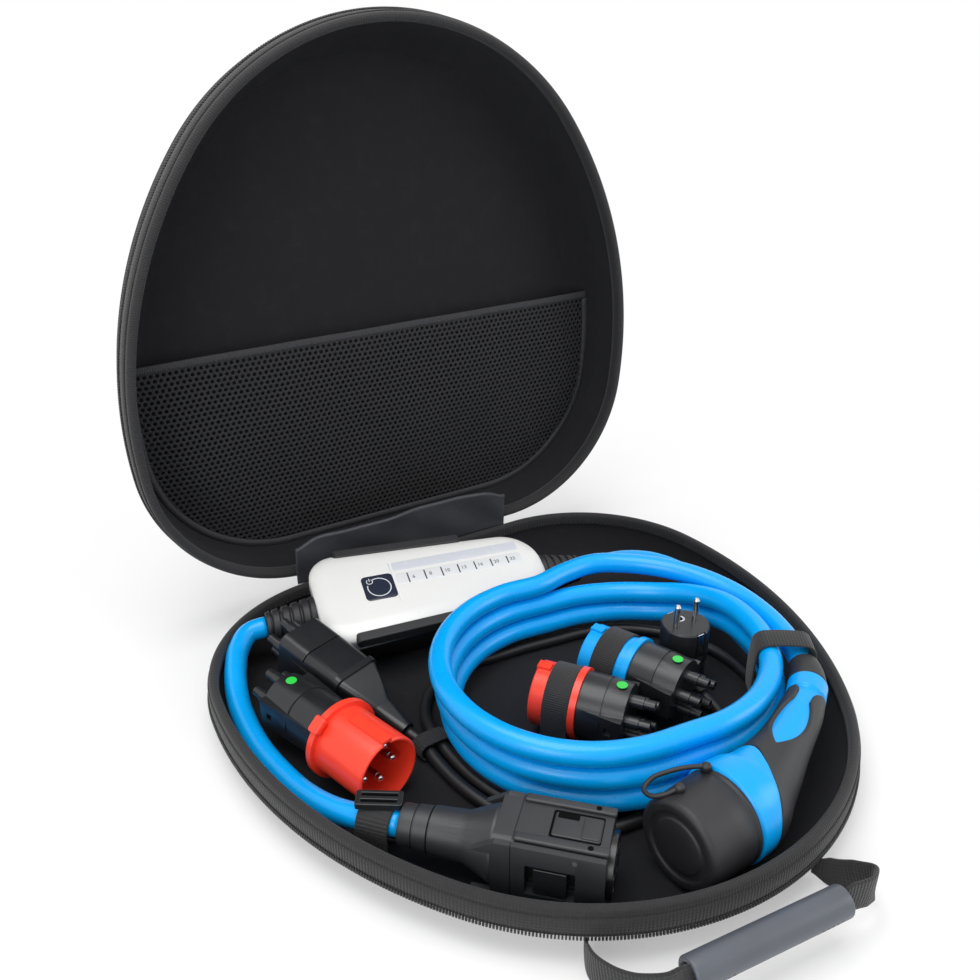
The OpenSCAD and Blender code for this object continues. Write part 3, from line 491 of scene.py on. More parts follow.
CABLE_D, LEAD_D = 17 * MM, 9 * MM
SUPPLY_AT, SUPPLY_YAW = np.array([-166, -94.5, 32.5]), math.radians(-46)
supply_end = SUPPLY_AT - 0.8 * np.array([math.cos(SUPPLY_YAW), math.sin(SUPPLY_YAW), 0])
supply_points = np.concatenate([[on_box([-139, 0, PORT_Z])], mm([
    [-178, 150.5, 36.5], [-190, 140, 33], [-200.5, 120, 28.5], [-209, 92, 24], [-213, 60, 21.5],
    [-213.5, 30, 21], [-210, 0, 21], [-204, -30, 22.5], [-194.5, -56, 26], [-181.5, -77.5, 30.5],
    supply_end])])
lead_in = np.concatenate([[on_box([135, 0, PORT_Z])], mm([
    [126, 88, 38], [150, 82, 38], [171, 70, 36], [184, 51, 33], [187, 28, 30], [183, 2, 28],
    [172.6, -38, 25.6], [163, -74, 25.4], [148, -99, 25.4]])])
tail_out = mm([
    [67.4, 61.8, 60.2], [99.1, 61.2, 60.2], [126.1, 44.6, 60], [147.5, 21.2, 60],
    [162.2, -6.9, 59.5], [169.5, -37.9, 58.5], [168.4, -69.7, 57.5], [160.4, -100.9, 56.2],
    [149.5, -123.5, 55.3], [146.4, -129.3, 55]])
black_points = mm([
    [-114.7, -0.7, 15.7], [-109.5, -13, 12.5], [-108.5, -34, 10.5], [-107, -55, 9.6], [-103, -77, 9.6],
    [-96, -99, 9.6], [-85, -119, 9.6], [-69, -135, 9.6], [-48, -147, 9.6], [-22, -152, 9.6],
    [6, -154, 9.6], [34, -156.5, 9.6], [62, -156, 9.6], [89, -149, 9.6], [113, -135, 9.6],
    [133, -114, 9.6], [147, -89, 9.6], [153, -61, 9.6], [151, -33, 9.6], [141, -7, 9.6],
    [124, 15, 9.6], [101, 32, 9.6], [75, 41, 9.6], [48, 45, 9.6], [20, 49, 9.6], [-8, 51, 9.6],
    [-33, 53, 9.6], [-56, 49, 9.6], [-76, 37, 9.6], [-90, 18, 10], [-97.5, -10, 12.2],
    [-97, -34, 10.3], [-95.5, -55, 9.6], [-91.5, -75, 9.6], [-84.5, -94, 9.6], [-74, -111, 9.6],
    [-59, -125, 9.6], [-38, -134, 9.6], [-12, -138, 9.6], [16, -141, 9.6], [43, -142, 9.6],
    [67, -136, 9.6], [86, -122, 9.6], [98, -101, 10], [99.9, -79.5, 13]])
print("routes:", len(supply_points), len(lead_in), len(tail_out), len(black_points), "points")

# %% The wound turns
COIL_AT, COIL_STEP = np.array([33, -52.3, 25.4]), np.array([-2.4, 3.2, 17.4])
COIL_R, COIL_RUN, COIL_YAW_DEG, TURN_POINTS = 103.5, 40.0, -7.5, 60
JOIN_DEG, LEAVE_DEG, CLIMB_FROM_DEG, CLIMB_OVER_DEG = 32, 95, 63, 60
HALF = math.pi * COIL_R
LAP = 2 * (HALF + COIL_RUN)
DEGREE = math.radians(1) * COIL_R


def coil_point(travel, layer):
    """A point of the coil after so much travel, clockwise from the middle of its right end: a half circle,
    a straight run, a half circle and a straight run, lifted and shifted by the layer."""
    t = (travel + HALF / 2) % LAP
    right, front = t < HALF, (t >= HALF) & (t < HALF + COIL_RUN)
    left = (t >= HALF + COIL_RUN) & (t < LAP - COIL_RUN)
    a = np.where(right, math.pi / 2 - t / COIL_R, -math.pi / 2 - (t - HALF - COIL_RUN) / COIL_R)
    x = np.select([right, front, left], [COIL_RUN / 2 + COIL_R * np.cos(a), COIL_RUN / 2 - (t - HALF),
                                         -COIL_RUN / 2 + COIL_R * np.cos(a)], t - LAP + COIL_RUN / 2)
    y = np.select([right | left, front], [COIL_R * np.sin(a), -COIL_R + 0 * t], COIL_R)
    flat = np.stack([*rotated(x, y, math.radians(COIL_YAW_DEG)), 0 * x], -1)
    return (COIL_AT + flat + layer[:, None] * COIL_STEP) * MM


travel = np.linspace((JOIN_DEG + COIL_YAW_DEG) * DEGREE, 3 * LAP - (LEAVE_DEG - COIL_YAW_DEG) * DEGREE,
                     TURN_POINTS)
climb = [np.clip((travel - (k * LAP - CLIMB_FROM_DEG * DEGREE)) / (CLIMB_OVER_DEG * DEGREE), 0, 1)
         for k in (1, 2)]
turns = coil_point(travel, sum(c * c * (3 - 2 * c) for c in climb))
print("turns end at", np.round(turns[-1], 4), "tail goes on at", np.round(tail_out[0], 4))

# %% Tubes
def tube(name, line, diameter, sides, look, slot, nodes_there):
    """A circle carried along the line, closed at both ends."""
    return lofted(name, carry(circle_profile(diameter, sides), line), look, slot, nodes_there)


def line_length(line):
    """The sum of the steps of a line."""
    return float(run_along(line)[-1])


supply_line = smooth_line(supply_points, 3 * MM)
charge_line = smooth_line(np.concatenate([lead_in, turns, tail_out]), 4 * MM)
black_line = smooth_line(black_points, 3 * MM)
supply_cable = tube("supply_cable_jacket", supply_line, CABLE_D, 32, "blue_jacket", "blue_jacket",
                    ["supply_cable"])
charge_cable = tube("charge_cable_jacket", charge_line, CABLE_D, 32, "blue_jacket", "blue_jacket",
                    ["charge_lead", "charge_coil", "charge_tail"])
black_lead = tube("adapter_lead_jacket", black_line, LEAD_D, 20, "black_jacket", "black_jacket",
                  ["house_lead"])
print("cables:", [round(line_length(x), 3) for x in (supply_line, charge_line, black_line)], "m")

# %% [markdown]
# ## The case shells
# Both halves are foam board moulded into a shallow dish, covered with woven nylon outside and a finer
# lining inside. Seen from above the rim is not a circle: a front arc, two flatter side arcs, two rear
# corners and a straight hinge side. So the rim is one line with its outward direction at each point,
# and the dish is a wall profile carried round it: rings of that line, moved in or out and up.

# %% The rim line
RIM_STEPS, LID_BACK, LID_TOP = 480, 261.7, 239.7


def rim_line(count):
    """The inner rim in millimetres and its outward direction: three arcs and a straight joined end to end,
    mirrored, and cut into equal steps of arc length. The first point is repeated at the end."""
    arcs = [((0, -42), 198, -90, -36.87), ((-113.6, 43.2), 340, -36.87, 6.733),
            ((102.4, 68.7), 122.5, 6.733, 90)]
    (corner_x, corner_y), corner_r = arcs[-1][:2]
    angle = np.concatenate([np.linspace(a, b, 400) for _, _, a, b in arcs] + [np.full(100, 90.0)])
    centre = np.concatenate([np.tile(c, (400, 1)) for c, _, _, _ in arcs]
                            + [np.stack([np.linspace(corner_x, 0, 100), np.full(100, corner_y)], 1)])
    radius = np.concatenate([np.full(400, r, float) for _, r, _, _ in arcs] + [np.full(100, corner_r)])
    facing = np.radians(angle)
    half = centre + radius[:, None] * np.stack([np.cos(facing), np.sin(facing)], 1)
    line = np.concatenate([half, (half * [-1, 1])[::-1]])
    facing = np.concatenate([facing, (math.pi - facing)[::-1]])
    length = run_along(line)
    at = np.linspace(0, length[-1], count, endpoint=False)
    out = np.interp(at, length, facing)
    spots = np.stack([np.interp(at, length, line[:, i]) for i in (0, 1)], 1)
    ways = np.stack([np.cos(out), np.sin(out)], 1)
    return np.concatenate([spots, spots[:1]]), np.concatenate([ways, ways[:1]]), length[-1]


rim_loop, out_loop, rim_length = rim_line(RIM_STEPS)
rim, rim_out = rim_loop[:-1], out_loop[:-1]
rim_at = np.arange(RIM_STEPS + 1) * rim_length / RIM_STEPS


def ring(offset, height):
    """The rim moved outwards by offset, at a height: points in millimetres."""
    return np.column_stack([rim + offset * rim_out, np.full(len(rim), float(height))])


def round_rim(section, rows=slice(None)):
    """A section of (outward, height) points carried round the rim, or round some of its points."""
    return np.stack([ring(d, z)[rows] for d, z in section], 1)


def lid_place(points):
    """Points of the lid, drawn as a second lower half in millimetres, in the case's frame at rest in
    metres."""
    p = np.asarray(points, float)
    return np.stack([-p[..., 0], LID_BACK - p[..., 2], LID_TOP - p[..., 1]], -1) * MM


print("rim length %.0f mm" % rim_length)

# %% Dishes
WALL, EDGE_R, FLOOR_IN = 5.0, 28.0, 40.0
HALVES = (("base", 36.0, mm), ("lid", 58.0, lid_place))


def dish(name, h, place):
    """Rings of the rim from the middle of the underside out to the edge, round it, up the wall, over the
    top and back down inside to the middle of the floor. Floors get flat UVs, walls unrolled ones."""
    sink = np.array([0.02, 0.3, 0.55, 0.78, 0.93])
    bend = np.radians(np.linspace(-90, 0, 13))
    wall = np.linspace(EDGE_R, h, 6)[1:]
    edge, inner = ([(WALL - EDGE_R + r * math.cos(a), EDGE_R + r * math.sin(a)) for a in bend]
                   for r in (EDGE_R, EDGE_R - WALL))
    around = [(-FLOOR_IN, 0.0)] + edge + [(WALL, z) for z in wall]
    inside = [(0.0, z) for z in wall[::-1]] + inner[::-1] + [(-FLOOR_IN, WALL)]
    rings = [ring(d, z) for d, z in around + inside]
    under, over = ([r * [f, f, 1] for f in sink] for r in (rings[0], rings[-1]))
    grid = np.stack(under + rings + over[::-1])
    run = run_along(np.array(around + inside))
    closed = np.concatenate([grid, grid[:, :1]], 1) * MM
    u, v = closed[..., 0].copy(), closed[..., 1].copy()
    walls = np.arange(len(sink) + 2, len(sink) + len(rings) - 2)
    u[walls] = rim_at * MM
    v[walls] = run[walls - len(sink)][:, None] * MM
    mesh = grid_mesh(name, place(grid), (False, True), caps=True, uv=(u, v))
    lined = np.repeat(np.arange(len(grid) - 1), RIM_STEPS) >= len(sink) + len(around) - 1
    mesh.polygons.foreach_set("material_index", np.concatenate([lined, [False, True]]).astype(np.int32))
    return mesh


for half, h, place in HALVES:
    piece(dish(half + "_dish", h, place), "case_cloth lining_cloth", "case_fabric", [half + "_shell"], half)
print("dishes made")

# %% [markdown]
# ## Rim binding, stitches and zip
# A strip of ribbed tape is folded over the edge of each half and sewn down, and half of a zip hangs
# from it outside, from one rear corner round the front to the other. The tape and the zip's band are
# profiles carried round the rim; stitches and teeth are one small shape each, repeated along it.

# %% Binding and stitches
BINDING, DROP, BEAD_R = 1.0, 7.0, 3.5
STITCH_DOWN, STITCH_PITCH = 5.2, 4.2


def binding(h):
    """The folded tape: up the inner face, half round over the bead, down the outer face and back inside."""
    a = np.radians(np.linspace(180, 0, 13))
    outer = np.concatenate([[(-BINDING, h - DROP), (-BINDING, h - DROP / 2)],
                            np.stack([WALL / 2 + BEAD_R * np.cos(a), h + BEAD_R * np.sin(a)], 1),
                            [(WALL + BINDING, h - DROP / 2), (WALL + BINDING, h - DROP)]])
    lips = np.array([(WALL + 0.05, h - DROP), (WALL + 0.05, h - 0.1), (-0.05, h - 0.1), (-0.05, h - DROP)])
    return round_rim(np.concatenate([outer, lips]))


def stitch_shape(length, width, rise):
    """A stitch: a humped strip, five points long and three wide, closed below by its own edge."""
    x = np.array([-0.5, -0.3, 0, 0.3, 0.5]) * length
    lift = np.array([0, 0.75, 1, 0.75, 0]) * rise
    points = np.array([[x[i], w * width / 2, lift[i] * (1 if w == 0 else 0.45)]
                       for i in range(5) for w in (-1, 0, 1)])
    quads = np.array([[i * 3 + w, (i + 1) * 3 + w, (i + 1) * 3 + w + 1, i * 3 + w + 1]
                      for i in range(4) for w in (0, 1)])
    under = np.array([[i * 3 + 2, (i + 1) * 3 + 2, (i + 1) * 3, i * 3] for i in range(4)])
    return points, [np.concatenate([quads, under])]


def rim_places(offset, height, pitch, first=0.0, last=1.0):
    """Places at equal steps along part of the rim, with the along, up and outward directions there."""
    count = int((last - first) * rim_length / pitch)
    at = (first + (last - first) * (np.arange(count) + 0.5) / count) * rim_length % rim_length
    spot, out = (np.stack([np.interp(at, rim_at, loop[:, i]) for i in (0, 1)], 1)
                 for loop in (rim_loop, out_loop))
    out, flat = unit(out), np.zeros(count)
    along = np.column_stack([-out[:, 1], out[:, 0], flat])
    return (np.column_stack([spot + offset * out, flat + height]), along, np.tile(UP, (count, 1)),
            np.column_stack([out, flat]))


def placed_rows(name, shape, rows, place):
    """The shape set along rows of places; the directions at each place are carried to the lid with it."""
    spots, *ways = (np.concatenate([r[i] for r in rows]) for i in range(4))
    return repeat(name, shape, place(spots), *(place(spots + d) - place(spots) for d in ways))


for half, h, place in HALVES:
    piece(grid_mesh(half + "_rim_binding", place(binding(h)), (True, True)), "binding_cloth", "case_fabric",
          [half + "_binding"], half)
    outer = rim_places(WALL + BINDING, h - STITCH_DOWN, STITCH_PITCH)
    spots, along, up, out = rim_places(-BINDING, h - STITCH_DOWN, STITCH_PITCH)
    piece(placed_rows(half + "_binding_stitches", stitch_shape(3.0, 0.8, 0.45),
                      [outer, (spots, -along, up, -out)], place), "stitch_thread", "case_fabric", (), half)
print("bindings and stitches made")

# %% Zip tapes and teeth
ZIP_DROP, ZIP_TOP, TAPE_T, TOOTH_PITCH, ZIP_FROM_DEG, ZIP_TO_DEG = 16.0, 3, 1.2, 2.0, 62, 118
rim_angle = np.degrees(np.arctan2(rim_out[:, 1], rim_out[:, 0]))
zip_part = np.flatnonzero((rim_angle <= ZIP_FROM_DEG) | (rim_angle >= ZIP_TO_DEG))
zip_order = np.concatenate([zip_part[zip_part > RIM_STEPS / 2], zip_part[zip_part <= RIM_STEPS / 2]])
zip_first, zip_last = zip_order[0] / RIM_STEPS - 1, zip_order[-1] / RIM_STEPS
tooth = (np.array([[x, y, z] for x in (-0.55, 0.55) for y, z in
                   ((-2.2, -0.2), (-2.2, 0.9), (-1.4, 1.5), (1.0, 1.5), (1.6, 0.9), (1.6, -0.2))]),
         [np.array([[i, (i + 1) % 6, 6 + (i + 1) % 6, 6 + i] for i in range(6)]),
          np.array([[5, 4, 3, 2, 1, 0], [6, 7, 8, 9, 10, 11]])])
for half, h, place in HALVES:
    d0, d1, z0, z1 = WALL + BINDING, WALL + BINDING + TAPE_T, h - ZIP_DROP, h - ZIP_TOP
    section = [(d0, z0), (d1 - 0.2, z0), (d1, z0 + 0.2), (d1, z1 - 0.6), (d1 - 0.6, z1), (d0, z1)]
    lofted(half + "_zip_tape", place(round_rim(section, zip_order)), "webbing_cloth", "zip_tape",
           [half + "_zip"], half)
    row = rim_places(d1 - 0.1, z0, TOOTH_PITCH, zip_first, zip_last)
    piece(placed_rows(half + "_zip_teeth", tooth, [row], place), "zip_teeth", "zip_tape", (), half)
print("zip runs %.0f mm" % ((zip_last - zip_first) * rim_length))

# %% [markdown]
# ## Hinge fabric and flap
# The two halves are joined at the rear by a strip of the case fabric. It is one sheet that lies on the
# base's rear wall, turns a corner at the hinge line and runs on under the lid. In front of it stands a soft
# folded flap that covers the gap; it crumples when the lid shuts.

# %% Hinge fabric
STRIP_HALF, STRIP_T = 90, 0.7 * MM
strip_line = smooth_line(mm([[198.7, 26], [198.7, 34], [198.8, 38], [199.8, 40.3], [202.2, 41.2],
                             [206, 41.25], [214.5, 41.25]]), 0.8 * MM)
slope = unit(np.gradient(strip_line, axis=0))
outer_face = strip_line + STRIP_T * np.stack([slope[:, 1], -slope[:, 0]], 1)
section = np.concatenate([strip_line, outer_face[::-1]])
grid = np.stack([np.column_stack([np.full(len(section), x), section])
                 for x in np.linspace(-STRIP_HALF, STRIP_HALF, 61) * MM])
hinge_fabric = lofted("hinge_fabric", grid, "case_cloth", "case_fabric",
                      ["base_hinge_strip", "lid_hinge_strip"], None)
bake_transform(hinge_fabric)
print("hinge fabric: %.0f mm of strip" % (line_length(strip_line) / MM))

# %% Flap
FLAP_LEFT, FLAP_RIGHT, FLAP_Y, FLAP_Z, FLAP_H = -118, 92, 195.3, 39.4, 40.2


def flap():
    """A doubled strip about 42 mm high along the hinge: its two layers part towards a rounded top edge, it
    leans and wrinkles more the higher it stands, and both ends are drawn down."""
    x = np.linspace(FLAP_LEFT, FLAP_RIGHT, 161)[:, None]
    share = np.linspace(0, 1, 26)
    a = np.radians(np.linspace(0, 180, 11))[1:-1]
    up = np.concatenate([share, 1 + 0 * a, share[::-1]])
    side = np.concatenate([-1 + 0 * share, -np.cos(a), 1 + 0 * share]) * (0.7 + 1.2 * up**3)
    roll = np.concatenate([0 * share, np.sin(a), 0 * share]) * 1.9
    ends = 1 - 0.18 * np.exp(-((x - FLAP_LEFT) / 15) ** 2) - 0.22 * np.exp(-((x - FLAP_RIGHT) / 14) ** 2)
    top = FLAP_H * ends + 0.9 * np.sin(x / 23 + 1)
    wave = 1.2 * np.sin(x / 17 + 0.6) + 0.7 * np.sin(x / 7.7 + 2) + 0.6 * np.sin(x / 41)
    crease = 1.1 * np.sin(x / 10 + 4 * up) * (up * (1 - up)) * 2.4
    y = FLAP_Y - 1.2 * up**2 + wave * up**1.4 + crease + side
    return np.stack([np.broadcast_to(x, y.shape), y, FLAP_Z + top * up + roll], -1) * MM


hinge_flap = lofted("hinge_flap_cloth", flap(), "flap_cloth", "lining", ["hinge_flap"])
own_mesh(hinge_flap)
print("flap made")

# %% [markdown]
# ## Net pocket in the lid
# The pocket is a knitted net, sewn along the lid's seam and hemmed with a folded band on top. A net could
# be painted with transparency, but its holes are shape, so it is built: a honeycomb of cells that share
# their corners, each cell a ring of six faces round its hole, bent by a billow and a few soft folds.

# %% Net
CELL, ROW, HOLE, THREAD_T = 5.0, 5.0 * math.sqrt(3) / 2, 0.6, 0.6 * MM
POCKET_Z, POCKET_IN, HEM_Y, HEM_W, HEM_HALF = 14.6, 5.0, 8.0, 6.0, 218.0


def rim_depth(points):
    """How far inside the rim line each point lies, in millimetres."""
    near = np.argmin(((points[:, None] - rim[None]) ** 2).sum(2), 1)
    return -((points - rim[near]) * rim_out[near]).sum(1)


def billow(x, y, depth):
    """Rise of the net: one wide belly and slanting folds, both dying out towards the sewn edge."""
    free = np.clip((depth - POCKET_IN) / 30, 0, 1)
    belly = 3.0 * np.sin(np.clip((186 - y) / 178, 0, 1) * math.pi) ** 0.7
    folds = 0.9 * np.sin(x / 15 + y / 34) + 0.7 * np.sin(x / 31 - y / 21 + 1)
    return POCKET_Z + free * (belly + folds * (0.35 + 0.65 * np.clip((y - HEM_Y) / 120, 0, 1)))


def net(name):
    """Honeycomb cells inside the pocket's outline, and the flat area that they cover."""
    rows, cols = np.meshgrid(np.arange(44), np.arange(-44, 45), indexing="ij")
    centre = np.stack([(cols + 0.5 * (rows % 2)) * CELL, HEM_Y - 1.5 + rows * ROW], -1).reshape(-1, 2)
    centre = centre[rim_depth(centre) > POCKET_IN + 2.7]
    a = np.radians(30 + 60 * np.arange(6))
    corner = centre[:, None] + CELL / math.sqrt(3) * np.stack([np.cos(a), np.sin(a)], 1)[None]
    shared, index = np.unique(np.round(corner.reshape(-1, 2), 3), axis=0, return_inverse=True)
    index = index.reshape(-1, 6)
    hole = centre[:, None] + (corner - centre[:, None]) * HOLE
    points = np.concatenate([shared, hole.reshape(-1, 2)])
    inner = len(shared) + np.arange(len(centre) * 6).reshape(-1, 6)
    faces = np.stack([index, np.roll(index, -1, 1), np.roll(inner, -1, 1), inner], -1).reshape(-1, 4)
    height = billow(points[:, 0], points[:, 1], rim_depth(points))
    mesh = make_mesh(name, lid_place(np.column_stack([points, height])), [faces], points[faces.ravel()] * MM)
    print("net:", len(centre), "cells,", len(faces), "faces")
    return mesh, len(centre) * CELL * ROW * MM * MM


net_mesh, net_area = net("pocket_net")
pocket_net = piece(net_mesh, "net_thread", "lining", ["mesh_pocket"], "lid")
thread = pocket_net.modifiers.new("thread_thickness", "SOLIDIFY")
thread.thickness, thread.offset = THREAD_T, 0.0

# %% Hem and sewn edge
def on_net(x, y):
    """Points at x and a fixed y, raised by the billow of the net's top edge."""
    flat = np.column_stack(np.broadcast_arrays(x, y))
    return np.column_stack([flat, billow(x, HEM_Y, rim_depth(flat))])


hem_line = on_net(np.linspace(-1, 1, 161) * HEM_HALF, HEM_Y - HEM_W / 2)
flat = slab_profile(2.2, HEM_W, 0.9)
hem_grid = hem_line[:, None] + np.stack([0 * flat[:, 0], flat[:, 1], flat[:, 0]], -1)[None]
hem = lofted("pocket_hem_band", lid_place(hem_grid), "hem_cloth", "case_fabric", ["pocket_hem"], "lid")
pocket_rows = np.flatnonzero(rim[:, 1] > HEM_Y - 2)
section = [(-10.5, 14.0), (-10.5, 15.2), (-7.5, 15.6), (-4.9, 15.4), (-4.9, 13.8), (-7.5, 13.8)]
lofted("pocket_seam_tape", lid_place(round_rim(section, pocket_rows)), "hem_cloth", "lining", (), "lid")
spots = on_net(np.arange(-212, 213, 3.6), HEM_Y - 1.2) + UP * 1.1
row = (spots, *(np.tile(way, (len(spots), 1)) for way in np.eye(3)))
hem_stitches = piece(placed_rows("hem_stitches", stitch_shape(2.6, 0.7, 0.4), [row], lid_place),
                     "stitch_thread", "case_fabric", (), "lid")
print("hem and seam made")

# %% [markdown]
# ## Control box
# A white cover with a soft crown sits on a black housing. The cover is a stack of the same outline, drawn
# in step by step along a quarter ellipse; the outline has tight corners at the supply end and nearly a
# half round at the vehicle end. Films, marks and small numbers lie on top as thin plates.

# %% Outline and cover
BOX_L, BOX_IN_W, BOX_OUT_W, CORNER_IN, CORNER_OUT = 198.0, 94.0, 76.0, 22.0, 34.0
CROWN_Z, CROWN_RISE, CROWN_IN = -7, 6.95, 16


def box_ring(inset):
    """The box's outline drawn in by inset: four quarter circles joined by straight runs of points."""
    r_in, r_out = max(CORNER_IN - inset, 1.0), max(CORNER_OUT - inset, 1.0)
    x_in, x_out = BOX_L / 2 - inset - r_in, BOX_L / 2 - inset - r_out
    y_in, y_out = BOX_IN_W / 2 - inset - r_in, BOX_OUT_W / 2 - inset - r_out
    corners = [(x_out, y_out, r_out), (-x_in, y_in, r_in), (-x_in, -y_in, r_in), (x_out, -y_out, r_out)]
    arcs, parts = [], []
    for k, (x, y, r) in enumerate(corners):
        a = np.radians(np.linspace(90 * k, 90 * k + 90, 17))
        arcs.append(np.stack([x + r * np.cos(a), y + r * np.sin(a)], 1))
    for k, count in enumerate((36, 8, 36, 8)):
        t = np.linspace(0, 1, count + 2)[1:-1, None]
        parts += [arcs[k], arcs[k][-1] * (1 - t) + arcs[(k + 1) % 4][0] * t]
    return np.concatenate(parts)


def stack(levels, outline, place):
    """Outlines at (height, inset) levels, one above the other, in their place."""
    rings = [np.column_stack([outline(i), np.full(len(outline(i)), z)]) for z, i in levels]
    return place(np.stack(rings))


crown = np.radians(np.linspace(0, 90, 15))
cover_levels = ([(-14.9, 3.0), (-15.0, 1.0), (-14.8, 0.3), (-14.3, 0.0), (-10.5, 0.0)]
                + [(CROWN_Z + CROWN_RISE * math.sin(a), CROWN_IN * (1 - math.cos(a))) for a in crown]
                + [(0.0, 22.0), (0.0, 30.0)])
lofted("box_white_cover", stack(cover_levels, box_ring, on_box), "white_cover", "white_plastic",
       ["box_cover"])
under_levels = [(-46, 20), (-46.0, 15.0), (-45.2, 12.0), (-43.5, 8.0), (-41, 5), (-38.5, 3.0), (-34, 1),
                (-25, 0.4), (-17.2, 0.0), (-16.2, 0.6), (-16.0, 1.5), (-15.4, 1.6), (-15.05, 3.0)]
lofted("box_black_housing", stack(under_levels, box_ring, on_box), "smooth_black", "black_plastic",
       ["box_housing", "box_seal"])
print("cover and housing made")

# %% Films, marks and numbers
PRINT_Z, PRINT_T, LABEL_SIZE = 0.24, 0.16, 5.0
FILM, TICK = (0.5, 0.3), (0.25, 0.06)


def plate(name, middle, size, radius, rise, thickness, inset, look, slot, stands_for=(), place=on_box):
    """A thin plate on a flat face: a rounded rectangle, its top edge drawn in a little."""
    def outline(i):
        return slab_profile(size[0] - 2 * i, size[1] - 2 * i, max(radius - i, 0.05), 7) + np.array(middle)

    levels = [(rise - thickness, 0), (rise - inset * 0.6, 0), (rise - inset * 0.15, inset * 0.5),
              (rise, inset * 1.4)]
    return lofted(name, stack(levels, outline, place), look, slot, stands_for)


def printed_line(name, x, y, z, width, look, slot):
    """A raised print along a line on the cover."""
    line = np.column_stack(np.broadcast_arrays(x, y, z))
    return lofted(name, on_box(carry(slab_profile(width, PRINT_T, 0.06, 3), line)), look, slot)


def printed_arc(name, middle, radius, first, last, width):
    """A print along part of a circle, from one angle to another in degrees."""
    a = np.radians(np.linspace(first, last, 61))
    printed_line(name, middle[0] + radius * np.cos(a), middle[1] + radius * np.sin(a), PRINT_Z, width,
                 "print_pale", "touch_film")


def printed_number(name, label, x, y, z):
    """A number as flat letters, set on the cover."""
    words = bpy.data.curves.new(name, "FONT")
    words.body, words.size, words.align_x, words.extrude = label, LABEL_SIZE, "CENTER", 0.03
    holder = bpy.data.objects.new("words", words)
    scene.collection.objects.link(holder)
    flat = bpy.data.meshes.new_from_object(holder.evaluated_get(bpy.context.evaluated_depsgraph_get()))
    flat.name = name
    bpy.data.objects.remove(holder)
    where = np.empty(len(flat.vertices) * 3, np.float32)
    flat.vertices.foreach_get("co", where)
    where = where.reshape(-1, 3) + np.array([x, y, z])
    flat.vertices.foreach_set("co", on_box(where).astype(np.float32).ravel())
    flat.update()
    piece(flat, "print_grey", "window")


plate("box_display_film", (25, 5), (111.4, 12.4), 2.8, 0.12, *FILM, "window_film", "window", ["box_window"])
plate("box_grey_band", (25, 19), (111.4, 10), 2.0, 0.1, *FILM, "band_film", "window")
printed_line("box_panel_line", -32.8, np.linspace(-19, 24, 9), 0.06, 0.6, "band_film", "window")
plate("box_touch_square", (-46, 0), (26.6, 26.6), 3.9, 0.2, *FILM, "touch_film", "touch_film",
      ["box_touch_field"])
printed_arc("touch_circle", (-46, 0), 9.6, 160, 475, 0.9)
printed_arc("touch_power_ring", (-52.6, 7.2), 2.5, 125, 415, 0.7)
printed_line("touch_power_stem", -52.6, np.linspace(7.4, 10.6, 9), PRINT_Z, 0.7, "print_pale", "touch_film")
tick_x = np.linspace(-20, 68, 7)
for k, x in enumerate(tick_x):
    plate("scale_tick_%d" % (k + 1), (x, 4.6), (1.2, 11.2 - 0.5 * k), 0.5, 0.2, *TICK, "print_grey", "window")
for k, label in enumerate(("6", "8", "10", "13", "16", "20", "32")):
    printed_number("scale_number_%d" % (k + 1), label, tick_x[k] + 4.6, 3.2, 0.2)
print("films and marks made")

# %% [markdown]
# ## Hard pieces from the solids
# Plugs, adapters and the supply connector are plain mouldings, so their CAD solids already have the right
# shape. What they lack is the small radius that every moulded edge has, which is what catches the light.
# A copy of each solid has its points merged and flat faces joined, and a bevel rounds its edges.

# %% Softened copies
SHARP = math.radians(32)
frame_body = {n: b for b, members in frame["record"]["behaviour"]["bodies"].items() for n in members}


def softened(node, look, slot, width):
    """A copy of a CAD solid with its edges rounded by a bevel of so many millimetres."""
    mesh = nodes[node].data.copy()
    mesh.name = node + "_moulding"
    mesh.materials.clear()
    work = bmesh.new()
    work.from_mesh(mesh)
    bmesh.ops.remove_doubles(work, verts=work.verts, dist=2e-6)
    bmesh.ops.dissolve_limit(work, angle_limit=math.radians(0.6), verts=work.verts, edges=work.edges)
    work.to_mesh(mesh)
    work.free()
    mesh.polygons.foreach_set("use_smooth", np.ones(len(mesh.polygons), bool))
    mesh.set_sharp_from_angle(angle=SHARP)
    obj = piece(mesh, look, slot, [node], frame_body[node])
    edge = obj.modifiers.new("moulded_edge", "BEVEL")
    edge.width, edge.segments, edge.limit_method = width * MM, 3, "ANGLE"
    edge.angle_limit, edge.harden_normals = SHARP, True
    return obj


solid_finishes = [
    ("strap_buckle", "black_plastic", "black_plastic", 0.5), ("zip_sliders", "plated_metal", "plated", 0.4),
    ("supply_neck", "charcoal_satin", "soft_black", 0.5),
    ("supply_housing", "charcoal_satin", "black_plastic", 1.0),
    ("supply_latches", "black_plastic", "soft_black", 0.5),
    ("supply_insert", "smooth_black", "dark_plastic", 0.5),
    ("big_housing mid_housing blue_housing", "black_plastic", "black_plastic", 0.6),
    ("big_shroud mid_shroud", "red_plastic", "red_plastic", 0.6),
    ("blue_shroud", "blue_plastic", "blue_plastic", 0.6),
    ("big_pins mid_pins blue_pins", "plated_metal", "plated", 0.4),
    ("coding_dots", "green_mark", "green_plastic", 0.4),
    ("house_housing", "black_plastic", "black_plastic", 0.8),
    ("house_plug", "black_plastic", "black_plastic", 0.7),
    ("house_pins", "plated_metal", "plated", 0.3), ("house_clips", "plated_metal", "plated", 0.25),
    ("vehicle_insert", "smooth_black", "dark_plastic", 0.5), ("box_grips", "soft_rubber", "soft_black", 1.2)]
